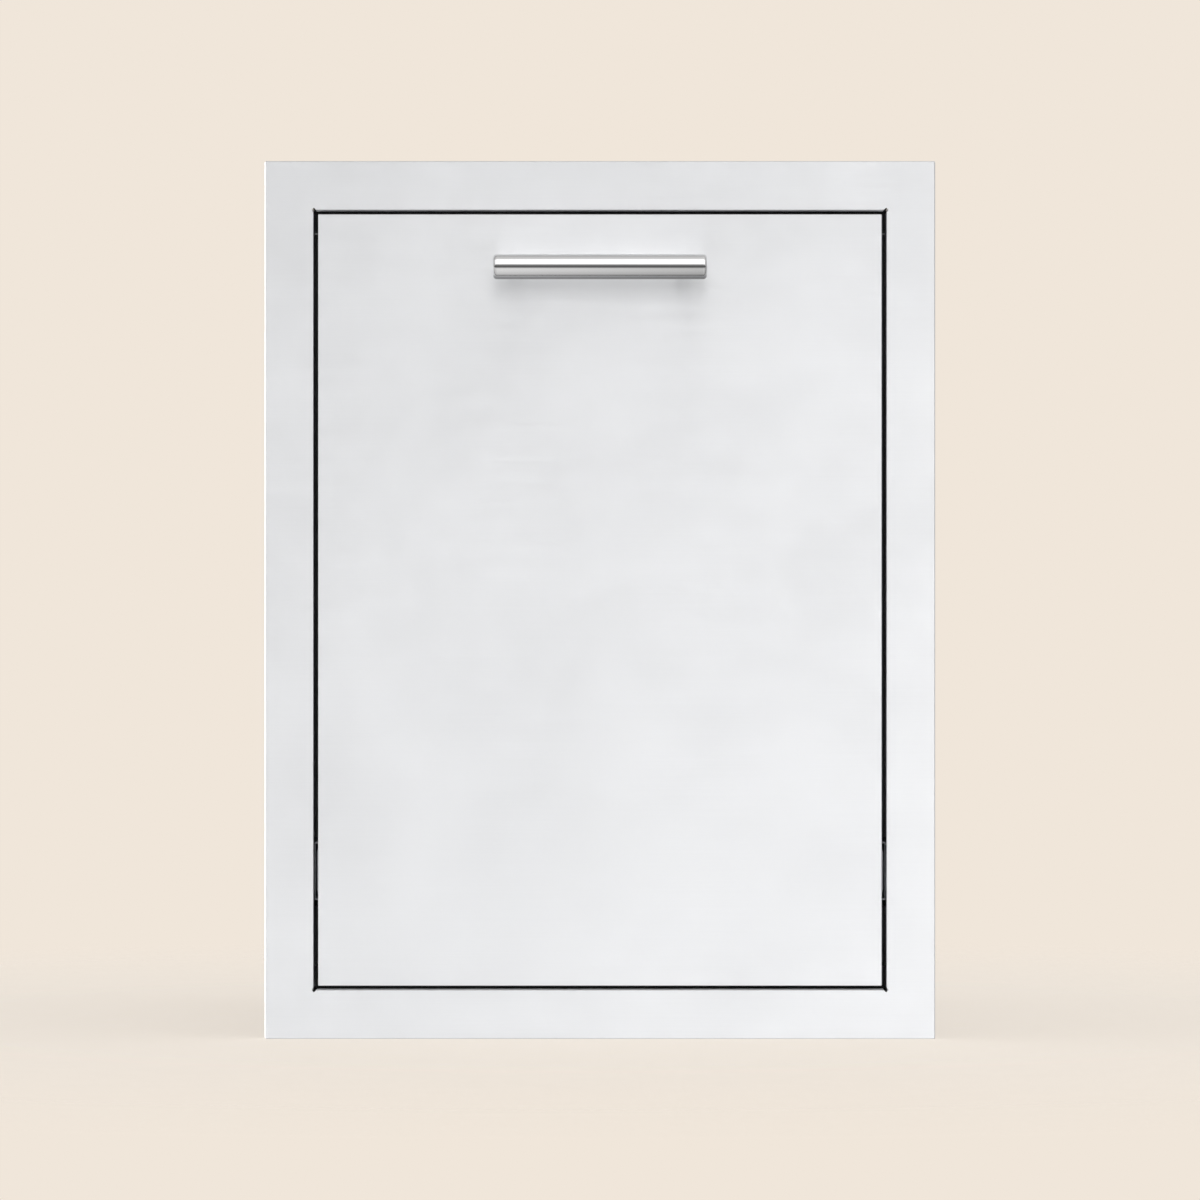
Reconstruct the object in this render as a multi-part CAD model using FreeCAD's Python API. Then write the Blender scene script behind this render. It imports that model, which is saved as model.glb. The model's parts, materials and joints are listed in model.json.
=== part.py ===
import FreeCAD, Part
import math
import os

# Trash and recycling drawer for an outdoor kitchen island.
# A folded steel face frame hangs on the island's face and carries a sheet housing behind it. A drawer
# on full-extension ball slides runs in the housing, behind an inset front with a bar handle, and holds
# two lift-out bins.
# Millimetres. +X is to the right seen from the front, +Y goes into the island, +Z is up. The origin is
# the middle of the frame's opening, on the plane where the frame seats on the island's face.

# Face frame
FRAME_WIDTH = 514.0
FRAME_HEIGHT = 673.0
FLANGE_WIDTH = 37.5
FRAME_DEPTH = 8.0
FRAME_SHEET = 1.2
FRAME_INNER_RADIUS = 0.2
HEM_WIDTH = 12.0
RELIEF_WIDTH = 2.3
RELIEF_REACH = 0.5
RETURN_SETBACK = 4.0

# Drawer front
FRONT_GAP = 3.2
FRONT_DEPTH = 20.0
SKIN_SHEET = 1.2
SKIN_INNER_RADIUS = 0.3
LINER_SHEET = 1.0
LINER_INNER_RADIUS = 1.0
LINER_FLANGE = 12.0
LINER_FIT = 0.1

# Handle
HANDLE_LENGTH = 162.6
HANDLE_DIAMETER = 19.05
HANDLE_DROP = 42.2
HANDLE_STANDOFF = 38.0
HANDLE_END_ROUND = 2.6
POST_SPACING = 128.0
POST_DIAMETER = 12.0
POST_HOLE_DEPTH = 16.0
HANDLE_SCREW_DIAMETER = 5.0
HANDLE_SCREW_HEAD = 9.0
HANDLE_SCREW_HEAD_HEIGHT = 3.5
WASHER_DIAMETER = 12.0
WASHER_SHEET = 1.0
ACCESS_HOLE_DIAMETER = 16.0
PLUG_RIM = 2.5
PLUG_RIM_HEIGHT = 1.2
PLUG_SKIRT = 3.0
PLUG_WALL = 1.2

# Housing
HOUSING_SHEET = 1.0
HOUSING_FRONT = 2.0
STOP_LEG = 18.0
STILE_LEG = 10.0
STILE_BACK = 20.0
STILE_SLIDE_ROOM = 4.0
SIDE_TOP_FLANGE = 12.0
FLOOR_FLANGE = 20.0
BACK_FLANGE = 16.0
BACK_CLEARANCE = 6.0
REAR_STRETCHER_DEPTH = 40.0
REAR_STRETCHER_LIP = 16.0
REAR_RIVET_INSET = 10.0
FLANGE_RELIEF = 5.0
SHEET_FIT = 0.3
MOUNT_HOLE_DIAMETER = 5.5
MOUNT_INSET = 70.0
MOUNT_BELOW_TOP = 50.0
MOUNT_ABOVE_SLIDE = 90.0

# Closing bumpers
BUMPER_DIAMETER = 10.0
BUMPER_HEIGHT = 5.8
BUMPER_CLEARANCE = 0.2
BUMPER_EDGE_ROUND = 1.5
BUMPER_STEM = 4.0
BUMPER_INSET = 60.0

# Ball slides
SLIDE_LENGTH = 500.0
SLIDE_TRAVEL = 500.0
SLIDE_HEIGHT = 45.0
SLIDE_THICKNESS = 12.7
SLIDE_SHEET = 1.2
SLIDE_SETBACK = 6.0
SLIDE_END_PLAY = 0.3
LIP_CLEARANCE = 1.0
BUFFER_LENGTH = 5.7
BALL_DIAMETER = 4.0
BALL_PLAY = 0.3
BALL_COUNT = 6
CAGE_SHEET = 0.6
CAGE_PLAY = 0.3
CAGE_END_PLAY = 15.0
CAGE_HOLE_PLAY = 0.15

# Drawer box
TRAY_SHEET = 1.0
TRAY_INNER_RADIUS = 1.0
TRAY_WALL = 120.0
TRAY_RISE = 13.2
TRAY_REAR_ROOM = 4.0
GUSSET_SHEET = 1.0
GUSSET_FLANGE = 18.0
GUSSET_LAP = 40.0
GUSSET_REACH = 200.0
GUSSET_RISE = 300.0
GUSSET_TIP = 24.0

# Bins
BIN_WALL = 2.2
BIN_RIM = 9.0
BIN_RIM_SKIRT = 14.0
BIN_DRAFT = 16.0
BIN_CORNER_RADIUS = 30.0
BIN_FRONT_ROOM = 8.0
BIN_SIDE_ROOM = 14.0
BIN_SPACING = 4.0
BIN_LIFT_ROOM = 8.0
BIN_HEADROOM = 70.0
DIVIDER_HEIGHT = 60.0
DIVIDER_ROOM = 2.0

# Fasteners
RIVET_DIAMETER = 3.2
RIVET_HEAD = 6.4
RIVET_HEAD_HEIGHT = 1.4
SCREW_DIAMETER = 4.0
SCREW_HEAD = 8.0
SCREW_HEAD_HEIGHT = 2.6
SCREW_HEAD_ROUND = 0.8
SCREW_TIP = 2.0
SOCKET_WIDTH = 2.5
SOCKET_DEPTH = 1.3
HOLE_PLAY = 0.1
FASTENER_INSET = 40.0

# Places worked out from the sizes above
SEAT_Y = 0.0
FRONT_Y = SEAT_Y - FRAME_DEPTH
OPEN_X = FRAME_WIDTH / 2 - FLANGE_WIDTH
OPEN_Z = FRAME_HEIGHT / 2 - FLANGE_WIDTH
WALL_X = OPEN_X + FRAME_SHEET
WALL_Z = OPEN_Z + FRAME_SHEET
PANEL_X = OPEN_X - FRONT_GAP
PANEL_Z = OPEN_Z - FRONT_GAP
LINER_Y = FRONT_Y + FRONT_DEPTH
STOP_Y = LINER_Y + BUMPER_CLEARANCE + BUMPER_HEIGHT
RETURN_Y = STOP_Y - RETURN_SETBACK
HANDLE_Y = FRONT_Y - HANDLE_STANDOFF
HANDLE_Z = PANEL_Z - HANDLE_DROP
SLIDE_Y = STOP_Y + SLIDE_SETBACK
TRAY_X = WALL_X - SLIDE_THICKNESS
TRAY_Z = -WALL_Z + STOP_LEG + TRAY_RISE
SLIDE_Z = TRAY_Z + TRAY_WALL / 2
BIN_X = TRAY_X - TRAY_SHEET - GUSSET_SHEET - BIN_SIDE_ROOM
BIN_FRONT_Y = STOP_Y + 2 * HOUSING_SHEET + BIN_FRONT_ROOM
BIN_REAR_Y = SLIDE_TRAVEL + FRONT_Y - BIN_LIFT_ROOM
BIN_HALF_Y = (BIN_REAR_Y - BIN_FRONT_Y - BIN_SPACING) / 4
BIN_BASE_Z = TRAY_Z + TRAY_SHEET
BIN_TOP_Z = WALL_Z - STOP_LEG - BIN_HEADROOM
TRAY_REAR_Y = BIN_REAR_Y + TRAY_REAR_ROOM
BACK_Y = max(SLIDE_Y + SLIDE_LENGTH, TRAY_REAR_Y) + BACK_CLEARANCE
REAR_EDGE_Y = BACK_Y + BACK_FLANGE
BUMPER_Z = PANEL_Z - SKIN_SHEET - LINER_FIT - LINER_SHEET - LINER_INNER_RADIUS - BUMPER_DIAMETER / 2
MEMBER_REAR_Y = SLIDE_Y + SLIDE_LENGTH - BUFFER_LENGTH - SLIDE_END_PLAY
CAGE_FRONT_Y = SLIDE_Y + SLIDE_TRAVEL / 4 + CAGE_END_PLAY
CAGE_REAR_Y = MEMBER_REAR_Y - SLIDE_TRAVEL / 4 - CAGE_END_PLAY
HANDLE_SCREW_XS = (-POST_SPACING / 2, POST_SPACING / 2)

TOLERANCE = 1e-4
EAST = FreeCAD.Vector(1, 0, 0)
WEST = FreeCAD.Vector(-1, 0, 0)
REAR = FreeCAD.Vector(0, 1, 0)
AHEAD = FreeCAD.Vector(0, -1, 0)
UP = FreeCAD.Vector(0, 0, 1)
DOWN = FreeCAD.Vector(0, 0, -1)


# Basic shapes

def vector(x, y, z):
    return FreeCAD.Vector(x, y, z)


def block(low, high):
    """Box between two corners."""
    return Part.makeBox(high[0] - low[0], high[1] - low[1], high[2] - low[2], vector(*low))


def rod(start, direction, diameter, length):
    """Round bar from a start point along a direction."""
    return Part.makeCylinder(diameter / 2, length, start, direction)


def fused(shapes):
    """One solid from touching shapes, with faces in one plane joined."""
    return shapes[0].fuse(list(shapes[1:])).removeSplitter()


def mirrored(shape):
    """The same piece on the other side of the middle plane."""
    return shape.mirror(vector(0, 0, 0), EAST)


def lies_on(edge, axis, value):
    """Whether an edge lies wholly in the plane where one coordinate has this value."""
    return all(abs(getattr(point, axis) - value) < TOLERANCE for point in edge.Vertexes)


def rounded_except(shape, radius, axis, value):
    """Round every edge apart from those of one flat side."""
    edges = [edge for edge in shape.Edges if not lies_on(edge, axis, value)]
    return shape.makeFillet(radius, edges)


def folded_box(low, high, sheet, inner_radius, open_axis, open_high):
    """Sheet box with rounded folds, open on the low or the high side of one axis."""
    side = "XYZ".index(open_axis)
    inner_low = [value + sheet for value in low]
    inner_high = [value - sheet for value in high]
    rim = high[side] if open_high else low[side]
    if open_high:
        inner_high[side] = rim
    else:
        inner_low[side] = rim
    outer = rounded_except(block(low, high), sheet + inner_radius, open_axis, rim)
    inner = rounded_except(block(inner_low, inner_high), inner_radius, open_axis, rim)
    return outer.cut(inner)


def spread(half, count):
    """Evenly spaced places from -half to +half."""
    return [-half + 2 * half * step / (count - 1) for step in range(count)]


def save(name, *solids):
    """Write one node: a single solid, or a group of separate like solids."""
    shape = solids[0] if len(solids) == 1 else Part.makeCompound(list(solids))
    shape.exportStep("parts/" + name + ".step")


# Fasteners

def rivet(start, direction, grip):
    """Rivet that is flush where it starts and has a domed head past its grip."""
    shank = rod(start, direction, RIVET_DIAMETER, grip)
    radius = ((RIVET_HEAD / 2) ** 2 + RIVET_HEAD_HEIGHT ** 2) / (2 * RIVET_HEAD_HEIGHT)
    sink = radius - RIVET_HEAD_HEIGHT
    latitude = math.degrees(math.asin(sink / radius))
    seat = start + direction * grip
    dome = Part.makeSphere(radius, seat - direction * sink, direction, latitude, 90, 360)
    return fused([shank, dome])


def rivet_hole(start, direction, grip):
    """Cutter for a rivet's hole through its sheets."""
    return rod(start, direction, RIVET_DIAMETER + 2 * HOLE_PLAY, grip)


def pan_screw(seat, direction, grip):
    """Socket pan-head screw: the head sits on the seat and the shank runs along the direction."""
    head = rod(seat, direction * -1, SCREW_HEAD, SCREW_HEAD_HEIGHT)
    crown = seat - direction * SCREW_HEAD_HEIGHT
    crown_edges = [edge for edge in head.Edges if (edge.CenterOfMass - crown).Length < TOLERANCE]
    head = head.makeFillet(SCREW_HEAD_ROUND, crown_edges)
    shank = rod(seat, direction, SCREW_DIAMETER, grip)
    return fused([head, shank]).cut(socket(crown, direction))


def socket(crown, direction):
    """Cutter for the hexagon socket in a screw's head."""
    turn = FreeCAD.Rotation(UP, direction)
    reach = SOCKET_WIDTH / math.sqrt(3)
    corners = []
    for step in range(7):
        angle = math.radians(60 * step)
        flat = vector(reach * math.cos(angle), reach * math.sin(angle), 0)
        corners.append(crown + turn.multVec(flat))
    return Part.Face(Part.makePolygon(corners)).extrude(direction * SOCKET_DEPTH)


def screw_hole(seat, direction, grip):
    """Cutter for a screw's clearance hole."""
    return rod(seat, direction, SCREW_DIAMETER + 2 * HOLE_PLAY, grip)


# Where the fasteners go: each entry is a start point, a direction and a grip

def frame_rivet_places():
    """Rivets that hold the frame's returns to the housing sides and the two front stretchers."""
    middle_y = (HOUSING_FRONT + RETURN_Y) / 2
    grip = FRAME_SHEET + HOUSING_SHEET
    places = []
    for z in spread(OPEN_Z - FASTENER_INSET, 5):
        places.append((vector(OPEN_X, middle_y, z), EAST, grip))
        places.append((vector(-OPEN_X, middle_y, z), WEST, grip))
    for x in spread(OPEN_X - FASTENER_INSET, 4):
        places.append((vector(x, middle_y, OPEN_Z), UP, grip))
        places.append((vector(x, middle_y, -OPEN_Z), DOWN, grip))
    return places


def stile_rivet_places():
    """Rivets that hold the stop stiles to the inside of the housing's sides."""
    inner_x = WALL_X - HOUSING_SHEET
    y = STOP_Y + (HOUSING_SHEET + STILE_BACK) / 2
    low, high = stile_spans()[1]
    zs = [(low + high) / 2 + z for z in spread((high - low) / 2 - FASTENER_INSET, 4)]
    zs.append(sum(stile_spans()[0]) / 2)
    places = []
    for z in zs:
        places.append((vector(inner_x, y, z), EAST, 2 * HOUSING_SHEET))
        places.append((vector(-inner_x, y, z), WEST, 2 * HOUSING_SHEET))
    return places


def housing_rivet_places():
    """Rivets that join the housing's floor, back, stiles and rear stretcher to its sides."""
    grip = 2 * HOUSING_SHEET
    inner_x = WALL_X - HOUSING_SHEET
    flange_z = -WALL_Z + FLOOR_FLANGE / 2
    middle_y = (SLIDE_Y + BACK_Y) / 2
    back_y = (BACK_Y + HOUSING_SHEET + REAR_EDGE_Y) / 2
    stretcher_z = WALL_Z - 2 * HOUSING_SHEET
    places = stile_rivet_places()
    for side, outward in ((1, EAST), (-1, WEST)):
        for y in spread((BACK_Y - SLIDE_Y) / 2 - FASTENER_INSET, 4):
            places.append((vector(side * inner_x, middle_y + y, flange_z), outward, grip))
        for z in spread(WALL_Z - FLOOR_FLANGE - 2 * FASTENER_INSET, 3):
            places.append((vector(side * inner_x, back_y, z), outward, grip))
        for y in (BACK_Y - REAR_RIVET_INSET, BACK_Y - REAR_STRETCHER_DEPTH + REAR_RIVET_INSET):
            x = side * (WALL_X - SIDE_TOP_FLANGE / 2)
            places.append((vector(x, y, stretcher_z), UP, grip))
    for x in spread(OPEN_X - 2 * FASTENER_INSET, 3):
        places.append((vector(x, STOP_Y, -WALL_Z + STOP_LEG / 2), REAR, grip))
    return places


def slide_fastener_ys(rear_y):
    """Screw or rivet places along a slide member that is held from its front end to rear_y."""
    middle = (SLIDE_Y + rear_y) / 2
    return [middle + y for y in spread((rear_y - SLIDE_Y) / 2 - FASTENER_INSET, 3)]


def slide_rivet_places():
    """Rivets that hold the cabinet members to the housing sides."""
    inner_x = WALL_X - SLIDE_SHEET
    grip = SLIDE_SHEET + HOUSING_SHEET
    places = []
    for y in slide_fastener_ys(MEMBER_REAR_Y):
        places.append((vector(inner_x, y, SLIDE_Z), EAST, grip))
        places.append((vector(-inner_x, y, SLIDE_Z), WEST, grip))
    return places


def slide_screw_places():
    """Screws that hold the drawer members to the tray's walls."""
    inner_x = TRAY_X - TRAY_SHEET
    grip = TRAY_SHEET + SLIDE_SHEET
    places = []
    for y in slide_fastener_ys(TRAY_REAR_Y):
        places.append((vector(inner_x, y, SLIDE_Z), EAST, grip))
        places.append((vector(-inner_x, y, SLIDE_Z), WEST, grip))
    return places


def gusset_rivet_places():
    """Rivets that hold the gussets to the inside of the tray's walls."""
    inner_x = TRAY_X - TRAY_SHEET - GUSSET_SHEET
    z = TRAY_Z + TRAY_WALL - GUSSET_LAP / 2
    grip = GUSSET_SHEET + TRAY_SHEET
    places = []
    for y in spread(GUSSET_REACH / 2 - FASTENER_INSET, 3):
        place_y = LINER_Y + GUSSET_REACH / 2 + y
        places.append((vector(inner_x, place_y, z), EAST, grip))
        places.append((vector(-inner_x, place_y, z), WEST, grip))
    return places


def front_screw_places():
    """Screws that hold the tray's front wall and the gussets' flanges to the drawer front."""
    places = []
    tray_grip = TRAY_SHEET + LINER_SHEET + SCREW_TIP
    for x in spread(TRAY_X - 2 * FASTENER_INSET, 4):
        places.append((vector(x, LINER_Y + TRAY_SHEET, TRAY_Z + TRAY_WALL / 2), AHEAD, tray_grip))
    gusset_x = TRAY_X - TRAY_SHEET - GUSSET_FLANGE / 2
    gusset_grip = GUSSET_SHEET + LINER_SHEET + SCREW_TIP
    for z in spread(GUSSET_RISE / 2 - FASTENER_INSET, 3):
        place_z = TRAY_Z + TRAY_WALL + GUSSET_RISE / 2 + z
        for x in (gusset_x, -gusset_x):
            places.append((vector(x, LINER_Y + GUSSET_SHEET, place_z), AHEAD, gusset_grip))
    return places


def mount_hole_ys():
    return (HOUSING_FRONT + MOUNT_INSET, BACK_Y - MOUNT_INSET)


def mount_hole_zs():
    return (SLIDE_Z + MOUNT_ABOVE_SLIDE, WALL_Z - MOUNT_BELOW_TOP)


def bumper_places():
    """Front of each bumper's seat on the stretchers' stop legs."""
    x = OPEN_X - BUMPER_INSET
    return [vector(side * x, STOP_Y, z) for side in (-1, 1) for z in (-BUMPER_Z, BUMPER_Z)]


def drilled(shape, cutter, places):
    """Cut a hole at each place."""
    return shape.cut([cutter(*place) for place in places])


# Face frame

def corner_relief(side_x, side_z):
    """Cutter for the round-ended slit between two inner returns at a corner of the opening."""
    centre_x = side_x * (OPEN_X + RELIEF_REACH)
    centre_z = side_z * (OPEN_Z + RELIEF_REACH)
    length = RETURN_Y - FRONT_Y
    end = rod(vector(centre_x, FRONT_Y, centre_z), REAR, RELIEF_WIDTH, length)
    half = RELIEF_WIDTH / 2
    slit = block((-half, FRONT_Y, -2 * RELIEF_REACH - RELIEF_WIDTH), (half, RETURN_Y, 0))
    slit.rotate(vector(0, 0, 0), REAR, math.degrees(math.atan2(side_x, side_z)))
    slit.translate(vector(centre_x, 0, centre_z))
    return end.fuse(slit)


def face_frame():
    """Front plate with hemmed outer returns, and inner returns that reach back into the cut-out."""
    half_x = FRAME_WIDTH / 2
    half_z = FRAME_HEIGHT / 2
    sheet = FRAME_SHEET
    fold = sheet + FRAME_INNER_RADIUS
    outer = block((-half_x, FRONT_Y, -half_z), (half_x, SEAT_Y, half_z))
    outer = rounded_except(outer, fold, "Y", SEAT_Y)
    hollow = block((sheet - half_x, FRONT_Y + sheet, sheet - half_z),
                   (half_x - sheet, SEAT_Y - sheet, half_z - sheet))
    hollow = rounded_except(hollow, FRAME_INNER_RADIUS, "Y", SEAT_Y - sheet)
    window = block((HEM_WIDTH - half_x, FRONT_Y + sheet, HEM_WIDTH - half_z),
                   (half_x - HEM_WIDTH, SEAT_Y, half_z - HEM_WIDTH))
    sleeve = block((-WALL_X, FRONT_Y + sheet, -WALL_Z), (WALL_X, RETURN_Y, WALL_Z))
    opening = block((-OPEN_X, FRONT_Y, -OPEN_Z), (OPEN_X, RETURN_Y, OPEN_Z))
    frame = fused([outer.cut([hollow, window]), sleeve]).cut(opening)
    rim = [edge for edge in frame.Edges if lies_on(edge, "Y", FRONT_Y) and on_opening(edge)]
    frame = frame.makeFillet(fold, rim)
    reliefs = [corner_relief(x, z) for x in (-1, 1) for z in (-1, 1)]
    return drilled(frame.cut(reliefs), rivet_hole, frame_rivet_places())


def on_opening(edge):
    """Whether an edge of the front plate runs along the opening."""
    return all(abs(point.X) < OPEN_X + TOLERANCE and abs(point.Z) < OPEN_Z + TOLERANCE
               for point in edge.Vertexes)


# Housing

def housing_right_side():
    """Side sheet with its top edge turned in, outside the frame's return."""
    sheet = HOUSING_SHEET
    wall = block((WALL_X, HOUSING_FRONT, -WALL_Z - sheet), (WALL_X + sheet, REAR_EDGE_Y, WALL_Z))
    flange = block((WALL_X - SIDE_TOP_FLANGE, SLIDE_Y, WALL_Z - sheet), (WALL_X + sheet, BACK_Y, WALL_Z))
    side = fused([wall, flange])
    places = frame_rivet_places() + housing_rivet_places() + slide_rivet_places()
    side = drilled(side, rivet_hole, places)
    holes = []
    for y in mount_hole_ys():
        for z in mount_hole_zs():
            holes.append(rod(vector(WALL_X, y, z), EAST, MOUNT_HOLE_DIAMETER, sheet))
    return side.cut(holes)


def housing_floor():
    """Floor sheet with its sides and front edge turned up."""
    sheet = HOUSING_SHEET
    front_y = STOP_Y + sheet
    under_z = -WALL_Z - sheet
    inner_x = WALL_X - sheet
    plate = block((-WALL_X, front_y, under_z), (WALL_X, REAR_EDGE_Y, -WALL_Z))
    front = block((FLANGE_RELIEF - inner_x, front_y, under_z),
                  (inner_x - FLANGE_RELIEF, front_y + sheet, -WALL_Z + STOP_LEG - FLANGE_RELIEF))
    right = block((inner_x, SLIDE_Y, under_z), (WALL_X, BACK_Y, -WALL_Z + FLOOR_FLANGE))
    floor = fused([plate, front, right, mirrored(right)])
    return drilled(floor, rivet_hole, housing_rivet_places())


def housing_back():
    """Back sheet set in between the sides, with its edges turned to the rear and its foot on the floor."""
    sheet = HOUSING_SHEET
    inner_x = WALL_X - sheet
    flange_z = WALL_Z - FLANGE_RELIEF
    plate = block((-WALL_X, BACK_Y, -WALL_Z), (WALL_X, BACK_Y + sheet, WALL_Z))
    right = block((inner_x, BACK_Y, -flange_z), (WALL_X, REAR_EDGE_Y, flange_z))
    foot = block((FLANGE_RELIEF - inner_x, BACK_Y, -WALL_Z),
                 (inner_x - FLANGE_RELIEF, REAR_EDGE_Y, sheet - WALL_Z))
    back = fused([plate, right, mirrored(right), foot])
    return drilled(back, rivet_hole, housing_rivet_places())


def front_top_stretcher():
    """Angle on the frame's top return, with a leg turned down as the upper closing stop."""
    sheet = HOUSING_SHEET
    half_x = WALL_X - SHEET_FIT
    top = block((-half_x, HOUSING_FRONT, WALL_Z), (half_x, STOP_Y + sheet, WALL_Z + sheet))
    leg = block((-half_x, STOP_Y, WALL_Z - STOP_LEG), (half_x, STOP_Y + sheet, WALL_Z + sheet))
    angle = drilled(fused([top, leg]), rivet_hole, frame_rivet_places())
    return angle.cut([bumper_hole(place) for place in bumper_places()])


def front_bottom_stretcher():
    """Angle under the frame's bottom return, with a leg turned up as the lower closing stop."""
    sheet = HOUSING_SHEET
    half_x = WALL_X - SHEET_FIT
    foot = block((-half_x, HOUSING_FRONT, -WALL_Z - sheet), (half_x, STOP_Y + sheet, -WALL_Z))
    leg = block((-half_x, STOP_Y, -WALL_Z - sheet), (half_x, STOP_Y + sheet, STOP_LEG - WALL_Z))
    places = frame_rivet_places() + housing_rivet_places()
    angle = drilled(fused([foot, leg]), rivet_hole, places)
    return angle.cut([bumper_hole(place) for place in bumper_places()])


def stile_spans():
    """Heights that the stop stiles cover, below and above the slide."""
    room = SLIDE_HEIGHT / 2 + STILE_SLIDE_ROOM
    foot = -WALL_Z + max(STOP_LEG, FLOOR_FLANGE) + SHEET_FIT
    head = WALL_Z - STOP_LEG - SHEET_FIT
    return ((foot, SLIDE_Z - room), (SLIDE_Z + room, head))


def right_stop_stiles():
    """Angles on the inside of the right side, in line with the stretchers' stop legs."""
    sheet = HOUSING_SHEET
    stiles = []
    for low, high in stile_spans():
        leg = block((WALL_X - STILE_LEG, STOP_Y, low), (WALL_X, STOP_Y + sheet, high))
        back = block((WALL_X - sheet, STOP_Y, low), (WALL_X, STOP_Y + STILE_BACK, high))
        stiles.append(drilled(fused([leg, back]), rivet_hole, stile_rivet_places()))
    return stiles


def rear_top_stretcher():
    """Angle across the top at the back, under the sides' turned-in edges."""
    sheet = HOUSING_SHEET
    half_x = WALL_X - SHEET_FIT
    top_z = WALL_Z - sheet
    front_y = BACK_Y - REAR_STRETCHER_DEPTH
    plate = block((-half_x, front_y, top_z - sheet), (half_x, BACK_Y - SHEET_FIT, top_z))
    lip = block((-half_x, front_y, top_z - REAR_STRETCHER_LIP), (half_x, front_y + sheet, top_z))
    return drilled(fused([plate, lip]), rivet_hole, housing_rivet_places())


def bumper_hole(place):
    """Cutter for a bumper's stem hole."""
    return rod(place, REAR, BUMPER_STEM + 2 * HOLE_PLAY, HOUSING_SHEET)


def closing_bumper(place):
    """Rubber button with a stem through the stop leg."""
    pad = rod(place, AHEAD, BUMPER_DIAMETER, BUMPER_HEIGHT)
    front_edges = [edge for edge in pad.Edges if lies_on(edge, "Y", STOP_Y - BUMPER_HEIGHT)]
    pad = pad.makeFillet(BUMPER_EDGE_ROUND, front_edges)
    stem = rod(place, REAR, BUMPER_STEM, HOUSING_SHEET)
    return fused([pad, stem])


# Ball slides, made for the right side: depth runs from the housing's wall towards the drawer,
# and height is measured from the slide's middle line

def slide_block(depths, ys, heights):
    """Box in the right slide's own measures."""
    low = (WALL_X - depths[1], ys[0], SLIDE_Z + heights[0])
    high = (WALL_X - depths[0], ys[1], SLIDE_Z + heights[1])
    return block(low, high)


def channel(web, lip_end, half_height, sheet, ys):
    """Channel section: a web between two depths, and a lip at top and bottom out to lip_end."""
    lip = (min(web[0], lip_end), max(web[1], lip_end))
    return fused([
        slide_block(web, ys, (-half_height, half_height)),
        slide_block(lip, ys, (half_height - sheet, half_height)),
        slide_block(lip, ys, (-half_height, sheet - half_height)),
    ])


CABINET_WEB = (0.0, SLIDE_SHEET)
OUTER_CAGE_WEB = (CABINET_WEB[1] + CAGE_PLAY, CABINET_WEB[1] + CAGE_PLAY + CAGE_SHEET)
MIDDLE_WEB = (OUTER_CAGE_WEB[1] + CAGE_PLAY, OUTER_CAGE_WEB[1] + CAGE_PLAY + SLIDE_SHEET)
INNER_CAGE_WEB = (MIDDLE_WEB[1] + CAGE_PLAY, MIDDLE_WEB[1] + CAGE_PLAY + CAGE_SHEET)
DRAWER_WEB = (SLIDE_THICKNESS - SLIDE_SHEET, SLIDE_THICKNESS)
DRAWER_LIP = INNER_CAGE_WEB[1] + 2 * CAGE_PLAY
LIP_END = DRAWER_WEB[0] - LIP_CLEARANCE
CAGE_LIP_END = LIP_END - CAGE_PLAY
BALL_DEPTH = (INNER_CAGE_WEB[1] + LIP_END) / 2
BALL_STEP = BALL_DIAMETER / 2 + BALL_PLAY
CABINET_HALF = SLIDE_HEIGHT / 2
OUTER_BALL_HEIGHT = CABINET_HALF - SLIDE_SHEET - BALL_STEP
MIDDLE_HALF = OUTER_BALL_HEIGHT - BALL_STEP
INNER_BALL_HEIGHT = MIDDLE_HALF - SLIDE_SHEET - BALL_STEP
DRAWER_HALF = INNER_BALL_HEIGHT - BALL_STEP


def cabinet_member():
    """Outer channel, on the housing's side."""
    ys = (SLIDE_Y, SLIDE_Y + SLIDE_LENGTH)
    member = channel(CABINET_WEB, LIP_END, CABINET_HALF, SLIDE_SHEET, ys)
    return drilled(member, rivet_hole, slide_rivet_places())


def middle_member():
    """Middle channel, which runs half as far as the drawer."""
    return channel(MIDDLE_WEB, LIP_END, MIDDLE_HALF, SLIDE_SHEET, (SLIDE_Y, MEMBER_REAR_Y))


def drawer_member():
    """Inner channel, on the tray's wall, with its lips towards the housing."""
    member = channel(DRAWER_WEB, DRAWER_LIP, DRAWER_HALF, SLIDE_SHEET, (SLIDE_Y, MEMBER_REAR_Y))
    return drilled(member, screw_hole, slide_screw_places())


def ball_centres(height):
    """Centres of one cage's balls, along its upper and lower lips."""
    middle = (CAGE_FRONT_Y + CAGE_REAR_Y) / 2
    half = (CAGE_REAR_Y - CAGE_FRONT_Y) / 2 - 2 * BALL_DIAMETER
    x = WALL_X - BALL_DEPTH
    return [vector(x, middle + y, SLIDE_Z + z) for z in (height, -height) for y in spread(half, BALL_COUNT)]


def ball_cage(web, height):
    """Thin channel with a round window for each ball."""
    half_height = height + CAGE_SHEET / 2
    cage = channel(web, CAGE_LIP_END, half_height, CAGE_SHEET, (CAGE_FRONT_Y, CAGE_REAR_Y))
    window = BALL_DIAMETER + 2 * CAGE_HOLE_PLAY
    windows = [rod(centre - UP * CAGE_SHEET, UP, window, 2 * CAGE_SHEET) for centre in ball_centres(height)]
    return cage.cut(windows)


def cage_balls(height):
    return [Part.makeSphere(BALL_DIAMETER / 2, centre) for centre in ball_centres(height)]


def end_buffer():
    """Block in the back end of the cabinet member, where the inner members stop."""
    ys = (SLIDE_Y + SLIDE_LENGTH - BUFFER_LENGTH, SLIDE_Y + SLIDE_LENGTH)
    half_height = CABINET_HALF - SLIDE_SHEET
    return slide_block((CABINET_WEB[1], LIP_END), ys, (-half_height, half_height))


# Drawer front and handle

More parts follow.
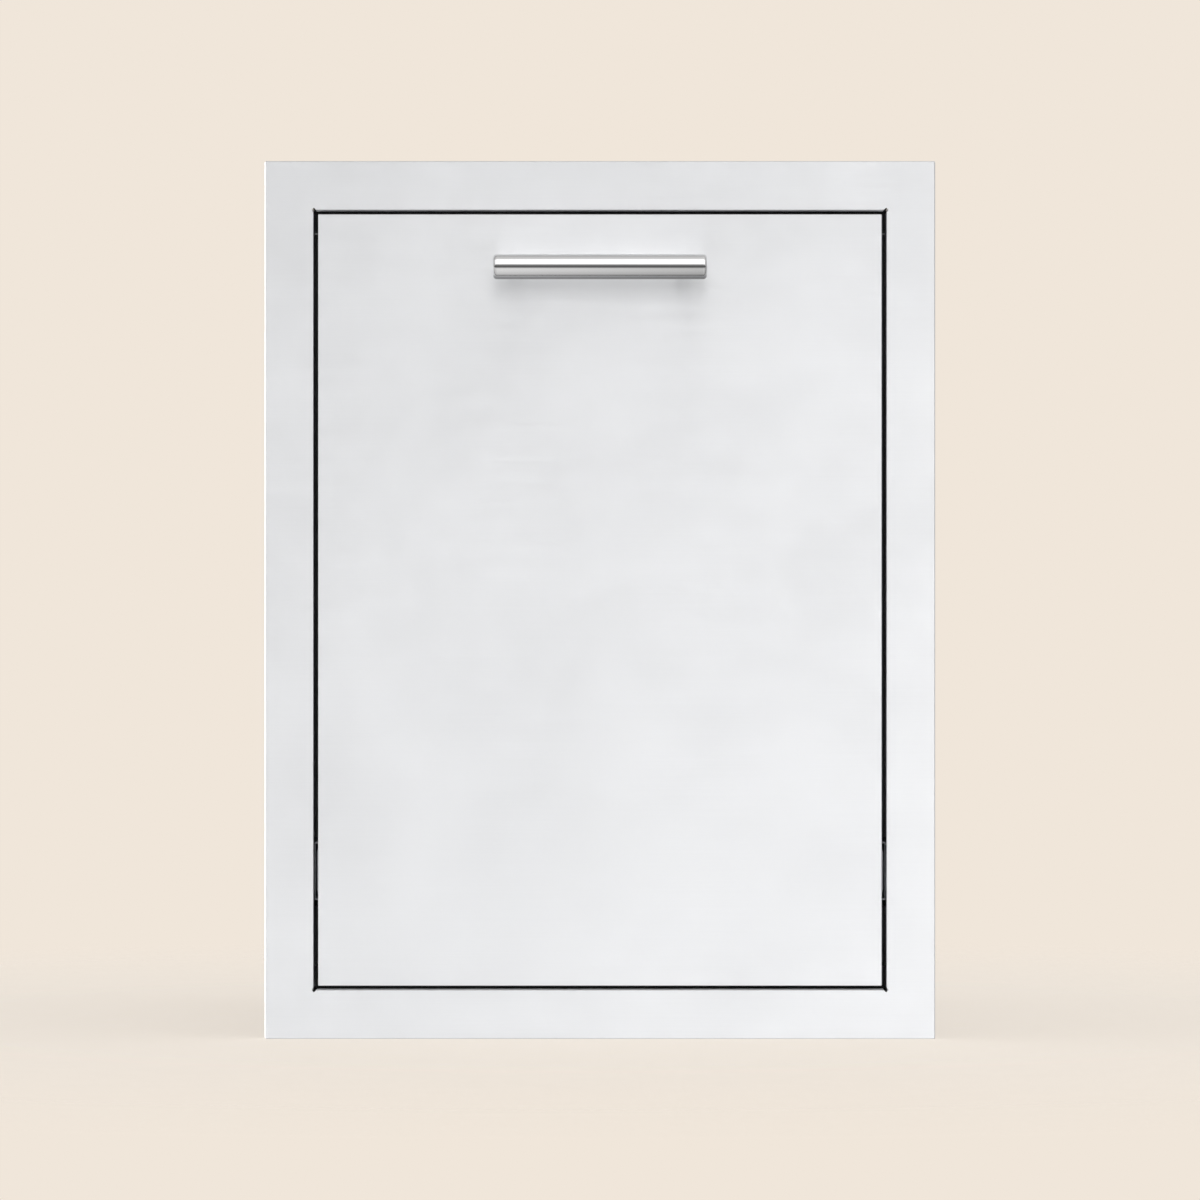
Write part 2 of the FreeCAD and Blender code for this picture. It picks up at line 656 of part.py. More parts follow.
def front_skin():
    """Outer pan of the drawer front, drilled for the handle's screws."""
    skin = folded_box((-PANEL_X, FRONT_Y, -PANEL_Z), (PANEL_X, LINER_Y, PANEL_Z),
                      SKIN_SHEET, SKIN_INNER_RADIUS, "Y", True)
    hole = HANDLE_SCREW_DIAMETER + 2 * HOLE_PLAY
    return skin.cut([rod(vector(x, FRONT_Y, HANDLE_Z), REAR, hole, SKIN_SHEET) for x in HANDLE_SCREW_XS])


def front_liner():
    """Inner pan that closes the back of the drawer front, with access holes for the handle's screws."""
    half_x = PANEL_X - SKIN_SHEET - LINER_FIT
    half_z = PANEL_Z - SKIN_SHEET - LINER_FIT
    liner = folded_box((-half_x, LINER_Y - LINER_FLANGE, -half_z), (half_x, LINER_Y, half_z),
                       LINER_SHEET, LINER_INNER_RADIUS, "Y", False)
    web_y = LINER_Y - LINER_SHEET
    access = []
    for x in HANDLE_SCREW_XS:
        access.append(rod(vector(x, web_y, HANDLE_Z), REAR, ACCESS_HOLE_DIAMETER, LINER_SHEET))
    return drilled(liner.cut(access), screw_hole, front_screw_places())


def access_plug(x):
    """Snap-in plug for an access hole: a rim outside and a hollow skirt inside."""
    seat = vector(x, LINER_Y, HANDLE_Z)
    body = ACCESS_HOLE_DIAMETER - 2 * HOLE_PLAY
    depth = LINER_SHEET + PLUG_SKIRT
    rim = rod(seat, REAR, ACCESS_HOLE_DIAMETER + 2 * PLUG_RIM, PLUG_RIM_HEIGHT)
    skirt = rod(seat, AHEAD, body, depth).cut(rod(seat, AHEAD, body - 2 * PLUG_WALL, depth))
    return fused([rim, skirt])


def handle_bar():
    """Round bar with eased ends."""
    bar = rod(vector(-HANDLE_LENGTH / 2, HANDLE_Y, HANDLE_Z), EAST, HANDLE_DIAMETER, HANDLE_LENGTH)
    ends = [edge for edge in bar.Edges
            if lies_on(edge, "X", -HANDLE_LENGTH / 2) or lies_on(edge, "X", HANDLE_LENGTH / 2)]
    return bar.makeFillet(HANDLE_END_ROUND, ends)


def handle_post(x, bar):
    """Post from the drawer front to the back of the bar, saddled to it and tapped for its screw."""
    foot = vector(x, FRONT_Y, HANDLE_Z)
    hole = rod(foot, AHEAD, HANDLE_SCREW_DIAMETER + 2 * HOLE_PLAY, POST_HOLE_DEPTH)
    return rod(foot, AHEAD, POST_DIAMETER, HANDLE_STANDOFF).cut([bar, hole])


def handle_washer(x):
    seat = vector(x, FRONT_Y + SKIN_SHEET, HANDLE_Z)
    hole = rod(seat, REAR, HANDLE_SCREW_DIAMETER + 2 * HOLE_PLAY, WASHER_SHEET)
    return rod(seat, REAR, WASHER_DIAMETER, WASHER_SHEET).cut(hole)


def handle_screw(x):
    """Screw from inside the drawer front into a post."""
    seat = vector(x, FRONT_Y + SKIN_SHEET + WASHER_SHEET, HANDLE_Z)
    head = rod(seat, REAR, HANDLE_SCREW_HEAD, HANDLE_SCREW_HEAD_HEIGHT)
    grip = SKIN_SHEET + WASHER_SHEET + POST_HOLE_DEPTH - SCREW_TIP
    shank = rod(seat, AHEAD, HANDLE_SCREW_DIAMETER, grip)
    crown = seat + REAR * HANDLE_SCREW_HEAD_HEIGHT
    return fused([head, shank]).cut(socket(crown, AHEAD))


# Drawer box

def drawer_tray():
    """Open folded tray between the slides, behind the drawer front."""
    tray = folded_box((-TRAY_X, LINER_Y, TRAY_Z), (TRAY_X, TRAY_REAR_Y, TRAY_Z + TRAY_WALL),
                      TRAY_SHEET, TRAY_INNER_RADIUS, "Z", True)
    tray = drilled(tray, screw_hole, slide_screw_places() + front_screw_places())
    return drilled(tray, rivet_hole, gusset_rivet_places())


def right_gusset():
    """Tapered plate that stiffens the drawer front against the tray, with a flange on the front."""
    outer_x = TRAY_X - TRAY_SHEET
    low_z = TRAY_Z + TRAY_WALL - GUSSET_LAP
    rim_z = TRAY_Z + TRAY_WALL + SHEET_FIT
    top_z = TRAY_Z + TRAY_WALL + GUSSET_RISE
    inset_y = LINER_Y + TRAY_SHEET + TRAY_INNER_RADIUS + SHEET_FIT
    outline = [
        (inset_y, low_z), (inset_y, rim_z), (LINER_Y, rim_z), (LINER_Y, top_z),
        (LINER_Y + GUSSET_TIP, top_z), (LINER_Y + GUSSET_REACH, rim_z), (LINER_Y + GUSSET_REACH, low_z),
    ]
    points = [vector(outer_x, y, z) for y, z in outline]
    plate = Part.Face(Part.makePolygon(points + points[:1])).extrude(WEST * GUSSET_SHEET)
    flange = block((outer_x - GUSSET_FLANGE, LINER_Y, rim_z), (outer_x, LINER_Y + GUSSET_SHEET, top_z))
    gusset = drilled(fused([plate, flange]), rivet_hole, gusset_rivet_places())
    return drilled(gusset, screw_hole, front_screw_places())


def bin_divider():
    """Inverted channel across the tray, between the feet of the two bins."""
    middle_y = (BIN_FRONT_Y + BIN_REAR_Y) / 2
    half_y = BIN_SPACING / 2 + BIN_RIM + BIN_DRAFT - DIVIDER_ROOM
    half_y -= BIN_DRAFT * DIVIDER_HEIGHT / (BIN_TOP_Z - BIN_BASE_Z)
    half_x = TRAY_X - TRAY_SHEET - TRAY_INNER_RADIUS - SCREW_HEAD_HEIGHT - SHEET_FIT
    top_z = BIN_BASE_Z + DIVIDER_HEIGHT
    outer = block((-half_x, middle_y - half_y, BIN_BASE_Z), (half_x, middle_y + half_y, top_z))
    inner = block((-half_x, middle_y - half_y + TRAY_SHEET, BIN_BASE_Z),
                  (half_x, middle_y + half_y - TRAY_SHEET, top_z - TRAY_SHEET))
    return outer.cut(inner)


# Bins

def rounded_outline(middle_y, half_x, half_y, radius, z):
    """Closed outline of a rectangle with round corners."""
    centre_x = half_x - radius
    centre_y = half_y - radius
    edges = []
    last = None
    first = None
    for quarter, (side_x, side_y) in enumerate(((1, 1), (-1, 1), (-1, -1), (1, -1))):
        points = []
        for step in range(3):
            angle = math.radians(90 * quarter + 45 * step)
            points.append(vector(side_x * centre_x + radius * math.cos(angle),
                                 middle_y + side_y * centre_y + radius * math.sin(angle), z))
        if last is None:
            first = points[0]
        else:
            edges.append(Part.LineSegment(last, points[0]).toShape())
        edges.append(Part.Arc(*points).toShape())
        last = points[2]
    edges.append(Part.LineSegment(last, first).toShape())
    return Part.Wire(edges)


def prism(outline, height):
    return Part.Face(outline).extrude(UP * height)


def lift_out_bin(middle_y):
    """Tapered bin with rounded corners and a turned-down rim."""
    body_x = BIN_X - BIN_RIM
    body_y = BIN_HALF_Y - BIN_RIM
    height = BIN_TOP_Z - BIN_BASE_Z

    def body_outline(inset, z):
        taper = BIN_DRAFT * (BIN_TOP_Z - z) / height + inset
        return rounded_outline(middle_y, body_x - taper, body_y - taper, BIN_CORNER_RADIUS - inset, z)

    def rim_outline(inset, z):
        radius = BIN_CORNER_RADIUS + BIN_RIM - inset
        return rounded_outline(middle_y, BIN_X - inset, BIN_HALF_Y - inset, radius, z)

    outer = Part.makeLoft([body_outline(0, BIN_BASE_Z), body_outline(0, BIN_TOP_Z)], True, True)
    floor_z = BIN_BASE_Z + BIN_WALL
    inner = Part.makeLoft([body_outline(BIN_WALL, floor_z), body_outline(BIN_WALL, BIN_TOP_Z)], True, True)
    lip = prism(rim_outline(0, BIN_TOP_Z - BIN_WALL), BIN_WALL)
    skirt = prism(rim_outline(0, BIN_TOP_Z - BIN_RIM_SKIRT), BIN_RIM_SKIRT)
    skirt = skirt.cut(prism(rim_outline(BIN_WALL, BIN_TOP_Z - BIN_RIM_SKIRT), BIN_RIM_SKIRT))
    return fused([outer, lip, skirt]).cut(inner)


# Writing the nodes

def save_pair(name, right):
    """Write a right-hand piece and its mirror image."""
    save("right_" + name, right)
    save("left_" + name, mirrored(right))


def save_housing():
    save("face_frame", face_frame())
    right = housing_right_side()
    save("housing_right_side", right)
    save("housing_left_side", mirrored(right))
    save("housing_floor", housing_floor())
    save("housing_back", housing_back())
    save("front_top_stretcher", front_top_stretcher())
    save("front_bottom_stretcher", front_bottom_stretcher())
    save("rear_top_stretcher", rear_top_stretcher())
    stiles = right_stop_stiles()
    save("right_stop_stiles", *stiles)
    save("left_stop_stiles", *[mirrored(stile) for stile in stiles])
    save("closing_bumpers", *[closing_bumper(place) for place in bumper_places()])
    save("frame_rivets", *[rivet(*place) for place in frame_rivet_places()])
    save("housing_rivets", *[rivet(*place) for place in housing_rivet_places()])


def save_slides():
    save_pair("slide_cabinet_member", cabinet_member())
    save_pair("slide_middle_member", middle_member())
    save_pair("slide_drawer_member", drawer_member())
    for name, web, height in (("outer", OUTER_CAGE_WEB, OUTER_BALL_HEIGHT),
                              ("inner", INNER_CAGE_WEB, INNER_BALL_HEIGHT)):
        save_pair(name + "_ball_cage", ball_cage(web, height))
        balls = cage_balls(height)
        save("right_" + name + "_balls", *balls)
        save("left_" + name + "_balls", *[mirrored(ball) for ball in balls])
    buffer = end_buffer()
    save("slide_end_buffers", buffer, mirrored(buffer))
    save("slide_cabinet_rivets", *[rivet(*place) for place in slide_rivet_places()])
    save("slide_drawer_screws", *[pan_screw(*place) for place in slide_screw_places()])


def save_drawer():
    save("front_skin", front_skin())
    save("front_liner", front_liner())
    save("access_plugs", *[access_plug(x) for x in HANDLE_SCREW_XS])
    bar = handle_bar()
    save("handle_bar", bar)
    save("handle_posts", *[handle_post(x, bar) for x in HANDLE_SCREW_XS])
    save("handle_washers", *[handle_washer(x) for x in HANDLE_SCREW_XS])
    save("handle_screws", *[handle_screw(x) for x in HANDLE_SCREW_XS])
    save("drawer_tray", drawer_tray())
    save_pair("gusset", right_gusset())
    save("gusset_rivets", *[rivet(*place) for place in gusset_rivet_places()])
    save("front_screws", *[pan_screw(*place) for place in front_screw_places()])
    save("bin_divider", bin_divider())


def save_bins():
    save("trash_bin", lift_out_bin(BIN_FRONT_Y + BIN_HALF_Y))
    save("recycling_bin", lift_out_bin(BIN_REAR_Y - BIN_HALF_Y))


os.makedirs("parts", exist_ok=True)
save_housing()
save_slides()
save_drawer()
save_bins()
print("wall screws: Y", mount_hole_ys(), "Z", mount_hole_zs(), "outer face X", WALL_X + HOUSING_SHEET)
print("bins: half X", BIN_X, "Y", BIN_FRONT_Y, BIN_REAR_Y, "half Y", BIN_HALF_Y, "Z", BIN_BASE_Z, BIN_TOP_Z)
print("handle: Y", HANDLE_Y, "Z", HANDLE_Z, "back", BACK_Y, "slide Z", SLIDE_Z, "stop", STOP_Y)
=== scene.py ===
import json
import math

import bmesh
import bpy
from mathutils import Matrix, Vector


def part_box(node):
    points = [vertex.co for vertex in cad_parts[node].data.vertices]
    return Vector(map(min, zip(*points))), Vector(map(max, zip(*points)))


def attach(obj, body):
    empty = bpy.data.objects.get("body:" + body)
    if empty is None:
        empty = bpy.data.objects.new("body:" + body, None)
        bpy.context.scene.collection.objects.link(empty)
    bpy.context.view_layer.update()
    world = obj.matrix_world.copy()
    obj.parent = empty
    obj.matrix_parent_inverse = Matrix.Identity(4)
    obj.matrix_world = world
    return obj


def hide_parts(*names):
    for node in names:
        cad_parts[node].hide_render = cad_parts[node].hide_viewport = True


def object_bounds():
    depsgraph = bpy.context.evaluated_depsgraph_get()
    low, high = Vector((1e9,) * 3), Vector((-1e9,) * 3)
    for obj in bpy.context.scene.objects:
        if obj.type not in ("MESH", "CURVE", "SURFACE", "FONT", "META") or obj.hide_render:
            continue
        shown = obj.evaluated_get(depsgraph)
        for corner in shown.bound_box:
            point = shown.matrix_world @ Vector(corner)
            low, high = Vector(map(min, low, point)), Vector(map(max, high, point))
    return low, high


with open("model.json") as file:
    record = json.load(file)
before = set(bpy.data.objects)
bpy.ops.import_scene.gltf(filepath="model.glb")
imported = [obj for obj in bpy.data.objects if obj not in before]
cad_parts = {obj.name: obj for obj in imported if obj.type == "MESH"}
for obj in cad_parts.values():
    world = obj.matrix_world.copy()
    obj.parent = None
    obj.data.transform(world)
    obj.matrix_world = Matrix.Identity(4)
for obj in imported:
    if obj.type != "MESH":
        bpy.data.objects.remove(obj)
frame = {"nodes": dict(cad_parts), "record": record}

# Trash and recycling drawer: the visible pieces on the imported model, and the studio around them.
# Metres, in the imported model's axes: +X to the right seen from the front, +Y into the island, +Z up.

bl_info = {
    "name": "Trash and recycling drawer",
    "version": (1, 0, 0),
    "blender": (4, 5, 0),
    "location": "View3D > Sidebar > Drawer",
    "description": "Builds the visible pieces of a trash and recycling drawer on its packed frame",
    "category": "Add Mesh",
}

CAD_BOX = [list(corner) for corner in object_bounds()]
WELD = 1e-6
FINISH = "_finish"
FOLD_STEPS = 6
BEND_STEPS = 4
CORNER_STEPS = 5
BIN_CORNER_STEPS = 12
BAR_SIDES = 128
POST_SIDES = 48
RIVET_SIDES = 20
SCREW_SIDES = 24
BALL_SEGMENTS = 16
BALL_RINGS = 10
SHARP_ANGLE = math.radians(35)
FLAT_WEIGHT = 100
AHEAD = Vector((0, -1, 0))
UP = Vector((0, 0, 1))
SIDES = ("left", "right")
QUARTERS = ((1, 1), (-1, 1), (-1, -1), (1, -1))


# Properties

def number(name, description, default, least=0.0, **kind):
    """A number with a least value."""
    return bpy.props.FloatProperty(name=name, description=description, default=default, min=least, **kind)


def length(name, description, default):
    """A size in metres."""
    return number(name, description, default, precision=5, subtype="DISTANCE", unit="LENGTH")


def power(name, description, default):
    """The power of a light, in watts."""
    return number(name, description, default, subtype="POWER", unit="POWER")


def millimetres(name, description, default):
    """A size of the camera, in millimetres."""
    return number(name, description, default, least=1.0, subtype="DISTANCE_CAMERA")


def colour(name, description, default):
    """A linear colour."""
    return bpy.props.FloatVectorProperty(name=name, description=description, default=default, size=3,
                                         min=0.0, max=1.0, subtype="COLOR")


class FaceSizes(bpy.types.PropertyGroup):
    flange: length("Flange", "From the frame's outer edge to its opening", 0.0375)
    sheet: length("Sheet", "Thickness of the frame and of the drawer front's skin", 0.0009)
    fold: length("Frame fold", "Outer radius of the frame's folds", 0.001)
    hem: length("Hem", "Width of the hem behind the frame's outer edge", 0.012)
    hem_fold: length("Hem fold", "Outer radius of the fold into the hem", 0.001)
    corner: length("Corner", "Radius of the frame's outer corners seen from the front", 0.0012)
    relief_width: length("Slit width", "Width of the slit at each corner of the opening", 0.0028)
    relief_reach: length("Slit reach", "From the opening's corner to the slit's end", 0.0013)
    relief_round: length("Slit rounding", "Radius of the corners at the slit's end", 0.0005)
    skin_fold: length("Skin fold", "Outer radius of the drawer front's folds", 0.001)


class HandleSizes(bpy.types.PropertyGroup):
    end_round: length("End rounding", "Radius round the ends of the bar", 0.0026)
    end_band: length("End band", "Width of the ring of faces beside the end rounding", 0.0006)
    foot_chamfer: length("Foot chamfer", "Chamfer round the foot of each post", 0.0004)
    bite: length("Bite", "How far each post reaches into the bar", 0.0005)


class BinSizes(bpy.types.PropertyGroup):
    wall: length("Wall", "Thickness of a bin's wall", 0.0022)
    rim: length("Rim", "How far the rim stands out from the wall", 0.009)
    skirt: length("Skirt", "Height of the turned-down rim", 0.014)
    draft: length("Draft", "How much narrower the foot is than the mouth, on each side", 0.016)
    corner: length("Corner", "Corner radius of the wall", 0.03)
    base_round: length("Base rounding", "Radius where the wall meets the base", 0.008)
    foot: length("Foot", "Width of the ring that a bin stands on", 0.012)
    foot_rise: length("Foot rise", "Height of the base's middle above the ring", 0.004)
    band_drop: length("Band drop", "From the mouth down to the stiffening band", 0.046)
    band: length("Band", "Height of the stiffening band", 0.014)
    band_proud: length("Band stand-out", "How far the stiffening band stands out", 0.0012)
    rim_round: length("Rim rounding", "Radius along the rim's outer edge", 0.003)
    lip_round: length("Lip rounding", "Radius along the rim's inner edge", 0.0018)


class SlideSizes(bpy.types.PropertyGroup):
    sheet: length("Sheet", "Thickness of the slide members", 0.0012)
    bend: length("Bend", "Inner radius of the slide members' bends", 0.0006)
    ball: length("Ball", "Diameter of the balls", 0.004)


class FastenerSizes(bpy.types.PropertyGroup):
    rivet_head: length("Rivet head", "Diameter of a rivet's head", 0.0064)
    rivet_height: length("Rivet height", "Height of a rivet's head", 0.0014)
    screw_head: length("Screw head", "Diameter of a screw's head", 0.008)
    screw_height: length("Screw height", "Height of a screw's head", 0.0026)
    screw_socket: length("Socket", "Width across the flats of a screw's socket", 0.0025)
    socket_depth: length("Socket depth", "Depth of a screw's socket", 0.0013)


class Finishes(bpy.types.PropertyGroup):
    face: colour("Face steel", "Brushed steel of the frame and the drawer front", (0.858, 0.866, 0.883))
    # The black coat is partly a real finish and partly painted shade: it is dark so that the stops and
    # stretchers seen through the gaps read as the shade there.
    coat: colour("Powder coat", "Black coat on the stops and the stretchers", (0.012, 0.012, 0.013))
    sheet: colour("Sheet steel", "Mill-finish sheet of the housing and the tray", (0.76, 0.765, 0.775))
    handle: colour("Handle steel", "Polished bar and posts", (0.75, 0.75, 0.755))
    slide: colour("Slide steel", "Zinc plate on the slide members", (0.6, 0.625, 0.65))
    cage: colour("Cage steel", "Plated strip of the ball cages", (0.52, 0.53, 0.545))
    ball: colour("Ball steel", "Polished bearing balls", (0.72, 0.725, 0.735))
    rivet: colour("Rivet steel", "Stainless rivets", (0.62, 0.62, 0.63))
    screw: colour("Screw steel", "Stainless screws", (0.56, 0.56, 0.57))
    rubber: colour("Rubber", "Closing bumpers", (0.028, 0.028, 0.029))
    buffer: colour("Buffer plastic", "Slide end buffers", (0.035, 0.035, 0.037))
    plug: colour("Plug plastic", "Plugs in the drawer front's liner", (0.3, 0.31, 0.32))
    trash: colour("Trash plastic", "Trash bin", (0.045, 0.047, 0.05))
    recycling: colour("Recycling plastic", "Recycling bin", (0.03, 0.115, 0.27))


class StudioSettings(bpy.types.PropertyGroup):
    lens: millimetres("Lens", "Focal length of the camera, in millimetres", 200.0)
    sensor: millimetres("Sensor", "Width of the camera's sensor, in millimetres", 36.0)
    view_width: length("View width", "Width of the view at the plane of the drawer front", 0.92)
    backdrop: colour("Backdrop", "Colour behind the object", (0.871, 0.791, 0.701))
    floor: colour("Floor", "Colour of the floor", (0.59, 0.55, 0.5))
    floor_glow: number("Floor glow", "How much of the backdrop's colour the floor gives off", 0.545,
                       max=1.0, subtype="FACTOR")
    floor_fade: length("Floor fade", "Radius at which the floor starts to fade out", 0.55)
    floor_radius: length("Floor radius", "Radius of the floor", 1.2)
    sky: number("Sky", "Strength of the light from the studio around", 0.64)
    face_key: power("Face key", "Light on the face from a little above the front", 50.0)
    face_broad: power("Face broad", "Even light on the face from the front and below", 26.0)
    handle_glow: power("Handle glow", "Glow on the drawer front above the handle", 0.0045)
    face_side: power("Face side", "Light along the folds of the face that look left", 4.5)
    edge_side: power("Edge side", "Light along the frame's left edge, from behind the face", 10.0)
    handle_key: power("Handle key", "Light on the handle from above the front", 5.5)
    housing_top: power("Housing top", "Light from above on the housing and what it holds", 12.0)


PROPERTY_GROUPS = {
    "drawer_face": FaceSizes,
    "drawer_handle": HandleSizes,
    "drawer_bins": BinSizes,
    "drawer_slides": SlideSizes,
    "drawer_fasteners": FastenerSizes,
    "drawer_finishes": Finishes,
    "drawer_studio": StudioSettings,
}


# Node helpers

NOISE_SPAN = (0.3, 0.7)


def add_node(tree, kind, feeds=None, **settings):
    """Add a node, make its settings, and feed its inputs, by name or number, from sockets or values."""
    made = tree.nodes.new(kind)
    for name, value in settings.items():
        setattr(made, name, value)
    for key, value in (feeds or {}).items():
        if isinstance(value, bpy.types.NodeSocket):
            tree.links.new(value, made.inputs[key])
        else:
            made.inputs[key].default_value = value
    return made


def calculate(tree, operation, first, second=0.0):
    """Result of a math node."""
    return add_node(tree, "ShaderNodeMath", {0: first, 1: second}, operation=operation).outputs[0]


def times(tree, first, second):
    """Product of two values."""
    return calculate(tree, "MULTIPLY", first, second)


def plus(tree, first, second):
    """Sum of two values."""
    return calculate(tree, "ADD", first, second)


def remap(tree, value, source, target):
    """A value carried from one range to another."""
    limits = {"Value": value, "From Min": source[0], "From Max": source[1],
              "To Min": target[0], "To Max": target[1]}
    return add_node(tree, "ShaderNodeMapRange", limits).outputs["Result"]


def ramp(tree, value, stops):
    """Colour read from a row of stops, each a place and a colour or a grey."""
    made = add_node(tree, "ShaderNodeValToRGB", {"Fac": value})
    elements = made.color_ramp.elements
    while len(elements) < len(stops):
        elements.new(1.0)
    for element, (place, shade) in zip(elements, stops):
        rgb = (shade,) * 3 if isinstance(shade, (int, float)) else tuple(shade)
        element.position = place
        element.color = (*rgb, 1.0)
    return made.outputs["Color"]


def noise(tree, vector, scale, detail, roughness=0.5):
    """Grey noise over a vector."""
    feeds = {"Vector": vector, "Scale": scale, "Detail": detail, "Roughness": roughness}
    return add_node(tree, "ShaderNodeTexNoise", feeds).outputs["Fac"]


def stretched(tree, vector, scale):
    """The vector with each axis scaled."""
    return add_node(tree, "ShaderNodeMapping", {"Vector": vector, "Scale": scale}).outputs["Vector"]


def tinted(tree, value, rgb, shades, span=NOISE_SPAN):
    """The colour between a darker and a lighter shade of itself, over a span of the value."""
    tones = [tuple(min(part * shade, 1.0) for part in rgb) for shade in shades]
    return ramp(tree, value, list(zip(span, tones)))


def varied(tree, value, middle, spread, span=NOISE_SPAN):
    """A number that varies round a middle, over a span of the value."""
    return remap(tree, value, span, (middle - spread, middle + spread))


def bumped(tree, height, strength, distance):
    """Normal of a surface with small bumps."""
    feeds = {"Height": height, "Strength": strength, "Distance": distance}
    return add_node(tree, "ShaderNodeBump", feeds).outputs["Normal"]


def new_material(name):
    """The empty tree of a new material, and the object's own coordinates."""
    material = bpy.data.materials.new(name + FINISH)
    material.use_nodes = True
    tree = material.node_tree
    tree.nodes.clear()
    place = add_node(tree, "ShaderNodeTexCoord").outputs["Object"]
    return tree, place


def surface(tree, feeds):
    """Principled shader on the material's output."""
    shader = add_node(tree, "ShaderNodeBsdfPrincipled", feeds)
    add_node(tree, "ShaderNodeOutputMaterial", {"Surface": shader.outputs["BSDF"]})


# Materials

SMUDGE_SPAN = (0.35, 0.65)
CRYSTAL_SPAN = (0.2, 0.8)
BLOOM_SPAN = (0.3, 0.75)
FLOW_LINES = (4.0, 4.0, 1.2)
# Painted shade on the handle's bar: a darker underside, and a lower half painted lighter to the left and
# darker to the right.
BAR_UNDERSIDE_PAINTED_SHADE = ((0.0, 0.2), (0.03, 0.24), (0.06, 0.36), (0.1, 0.44), (0.14, 0.68), (0.18, 1.0))
BAR_LOWER_EDGE = 0.001
BAR_PAINTED_SLANT = (0.2, -0.18)
# Painted light on the face: brighter towards the right and towards the bottom.
FACE_PAINTED_LIGHT_ALONG = (0.945, 1.05)
FACE_PAINTED_LIGHT_UP = (1.046, 0.947)
BRUSH_MAP = "brush"
BRUSHED_LINES = (7.0, 7.0, 1500.0)
ROLLED_LINES = (950.0, 8.0, 950.0)
CROSS_ROLLED_LINES = (8.0, 950.0, 950.0)
CROSS_ROLLED = "_across"
CROSS_ROLLED_NODES = ("housing_back", "rear_top_stretcher", "front_liner", "bin_divider")
DRAWN_LINES = (5.0, 900.0, 900.0)
TURNED_LINES = (900.0, 900.0, 900.0)


def steel(name, rgb, lines, roughness, tone, scatter, relief, brush_map="", anisotropy=0.0, painted_light=None):
    """Metal with fine drawn lines: lines is their rate along each axis, tone and scatter how far they
    change the colour and the roughness, relief how deep they are. Painted light, where given, is a factor
    on the colour over the piece that paints shade and brightness into it."""
    tree, place = new_material(name)
    streaks = noise(tree, stretched(tree, place, lines), scale=1.0, detail=5.0, roughness=0.62)
    clouds = noise(tree, place, scale=9.0, detail=3.0)
    smudges = noise(tree, place, scale=55.0, detail=4.0, roughness=0.6)
    tint = tinted(tree, streaks, rgb, (1 - tone, 1 + tone))
    # Painted light: the colour is scaled over the piece by painted shade and painted brightening.
    if painted_light:
        shares = {0: tint, "Scale": painted_light(tree, place)}
        tint = add_node(tree, "ShaderNodeVectorMath", shares, operation="SCALE").outputs["Vector"]
    gloss = varied(tree, streaks, roughness, scatter)
    gloss = plus(tree, gloss, varied(tree, clouds, 0.0, scatter / 2))
    gloss = plus(tree, gloss, varied(tree, smudges, 0.0, scatter / 4, SMUDGE_SPAN))
    feeds = {
        "Base Color": tint,
        "Metallic": 1.0,
        "Roughness": gloss,
        "Anisotropic": anisotropy,
        "Normal": bumped(tree, streaks, strength=1.0, distance=relief),
    }
    if brush_map:
        tangent = add_node(tree, "ShaderNodeTangent", direction_type="UV_MAP", uv_map=brush_map)
        feeds["Tangent"] = tangent.outputs["Tangent"]
    surface(tree, feeds)


def bar_painted_shade(tree, place):
    """Painted shade over the handle's bar: darker along the underside, and on its lower half painted
    lighter towards the left and darker towards the right.
    """
    low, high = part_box("handle_bar")
    middle = (low + high) / 2
    parts = add_node(tree, "ShaderNodeSeparateXYZ", {"Vector": place})
    height = remap(tree, parts.outputs["Z"], (low.z, high.z), (0.0, 1.0))
    under = ramp(tree, height, BAR_UNDERSIDE_PAINTED_SHADE)
    lower = remap(tree, parts.outputs["Z"], (middle.z - BAR_LOWER_EDGE, middle.z), (1.0, 0.0))
    along = remap(tree, parts.outputs["X"], (low.x, high.x), BAR_PAINTED_SLANT)
    painted_slant = plus(tree, times(tree, lower, along), 1.0)
    return times(tree, under, painted_slant)


def face_painted_light(tree, place):
    """Painted light over the face: a little brighter towards the lower right and darker towards the upper
    left.
    """
    low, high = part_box("face_frame")
    parts = add_node(tree, "ShaderNodeSeparateXYZ", {"Vector": place})
    along = remap(tree, parts.outputs["X"], (low.x, high.x), FACE_PAINTED_LIGHT_ALONG)
    up = remap(tree, parts.outputs["Z"], (low.z, high.z), FACE_PAINTED_LIGHT_UP)
    return times(tree, along, up)


def plating(name, rgb, roughness):
    """Zinc plate: small crystals that differ a little in tone and gloss."""
    tree, place = new_material(name)
    crystals = add_node(tree, "ShaderNodeTexVoronoi", {"Vector": place, "Scale": 420.0})
    patch = add_node(tree, "ShaderNodeSeparateColor", {"Color": crystals.outputs["Color"]}).outputs[0]
    clouds = noise(tree, place, scale=14.0, detail=4.0)
    mixed = plus(tree, times(tree, patch, 0.45), times(tree, clouds, 0.55))
    surface(tree, {
        "Base Color": tinted(tree, mixed, rgb, (0.9, 1.08), CRYSTAL_SPAN),
        "Metallic": 1.0,
        "Roughness": varied(tree, mixed, roughness, 0.07, CRYSTAL_SPAN),
        "Normal": bumped(tree, clouds, strength=0.3, distance=0.00003),
    })


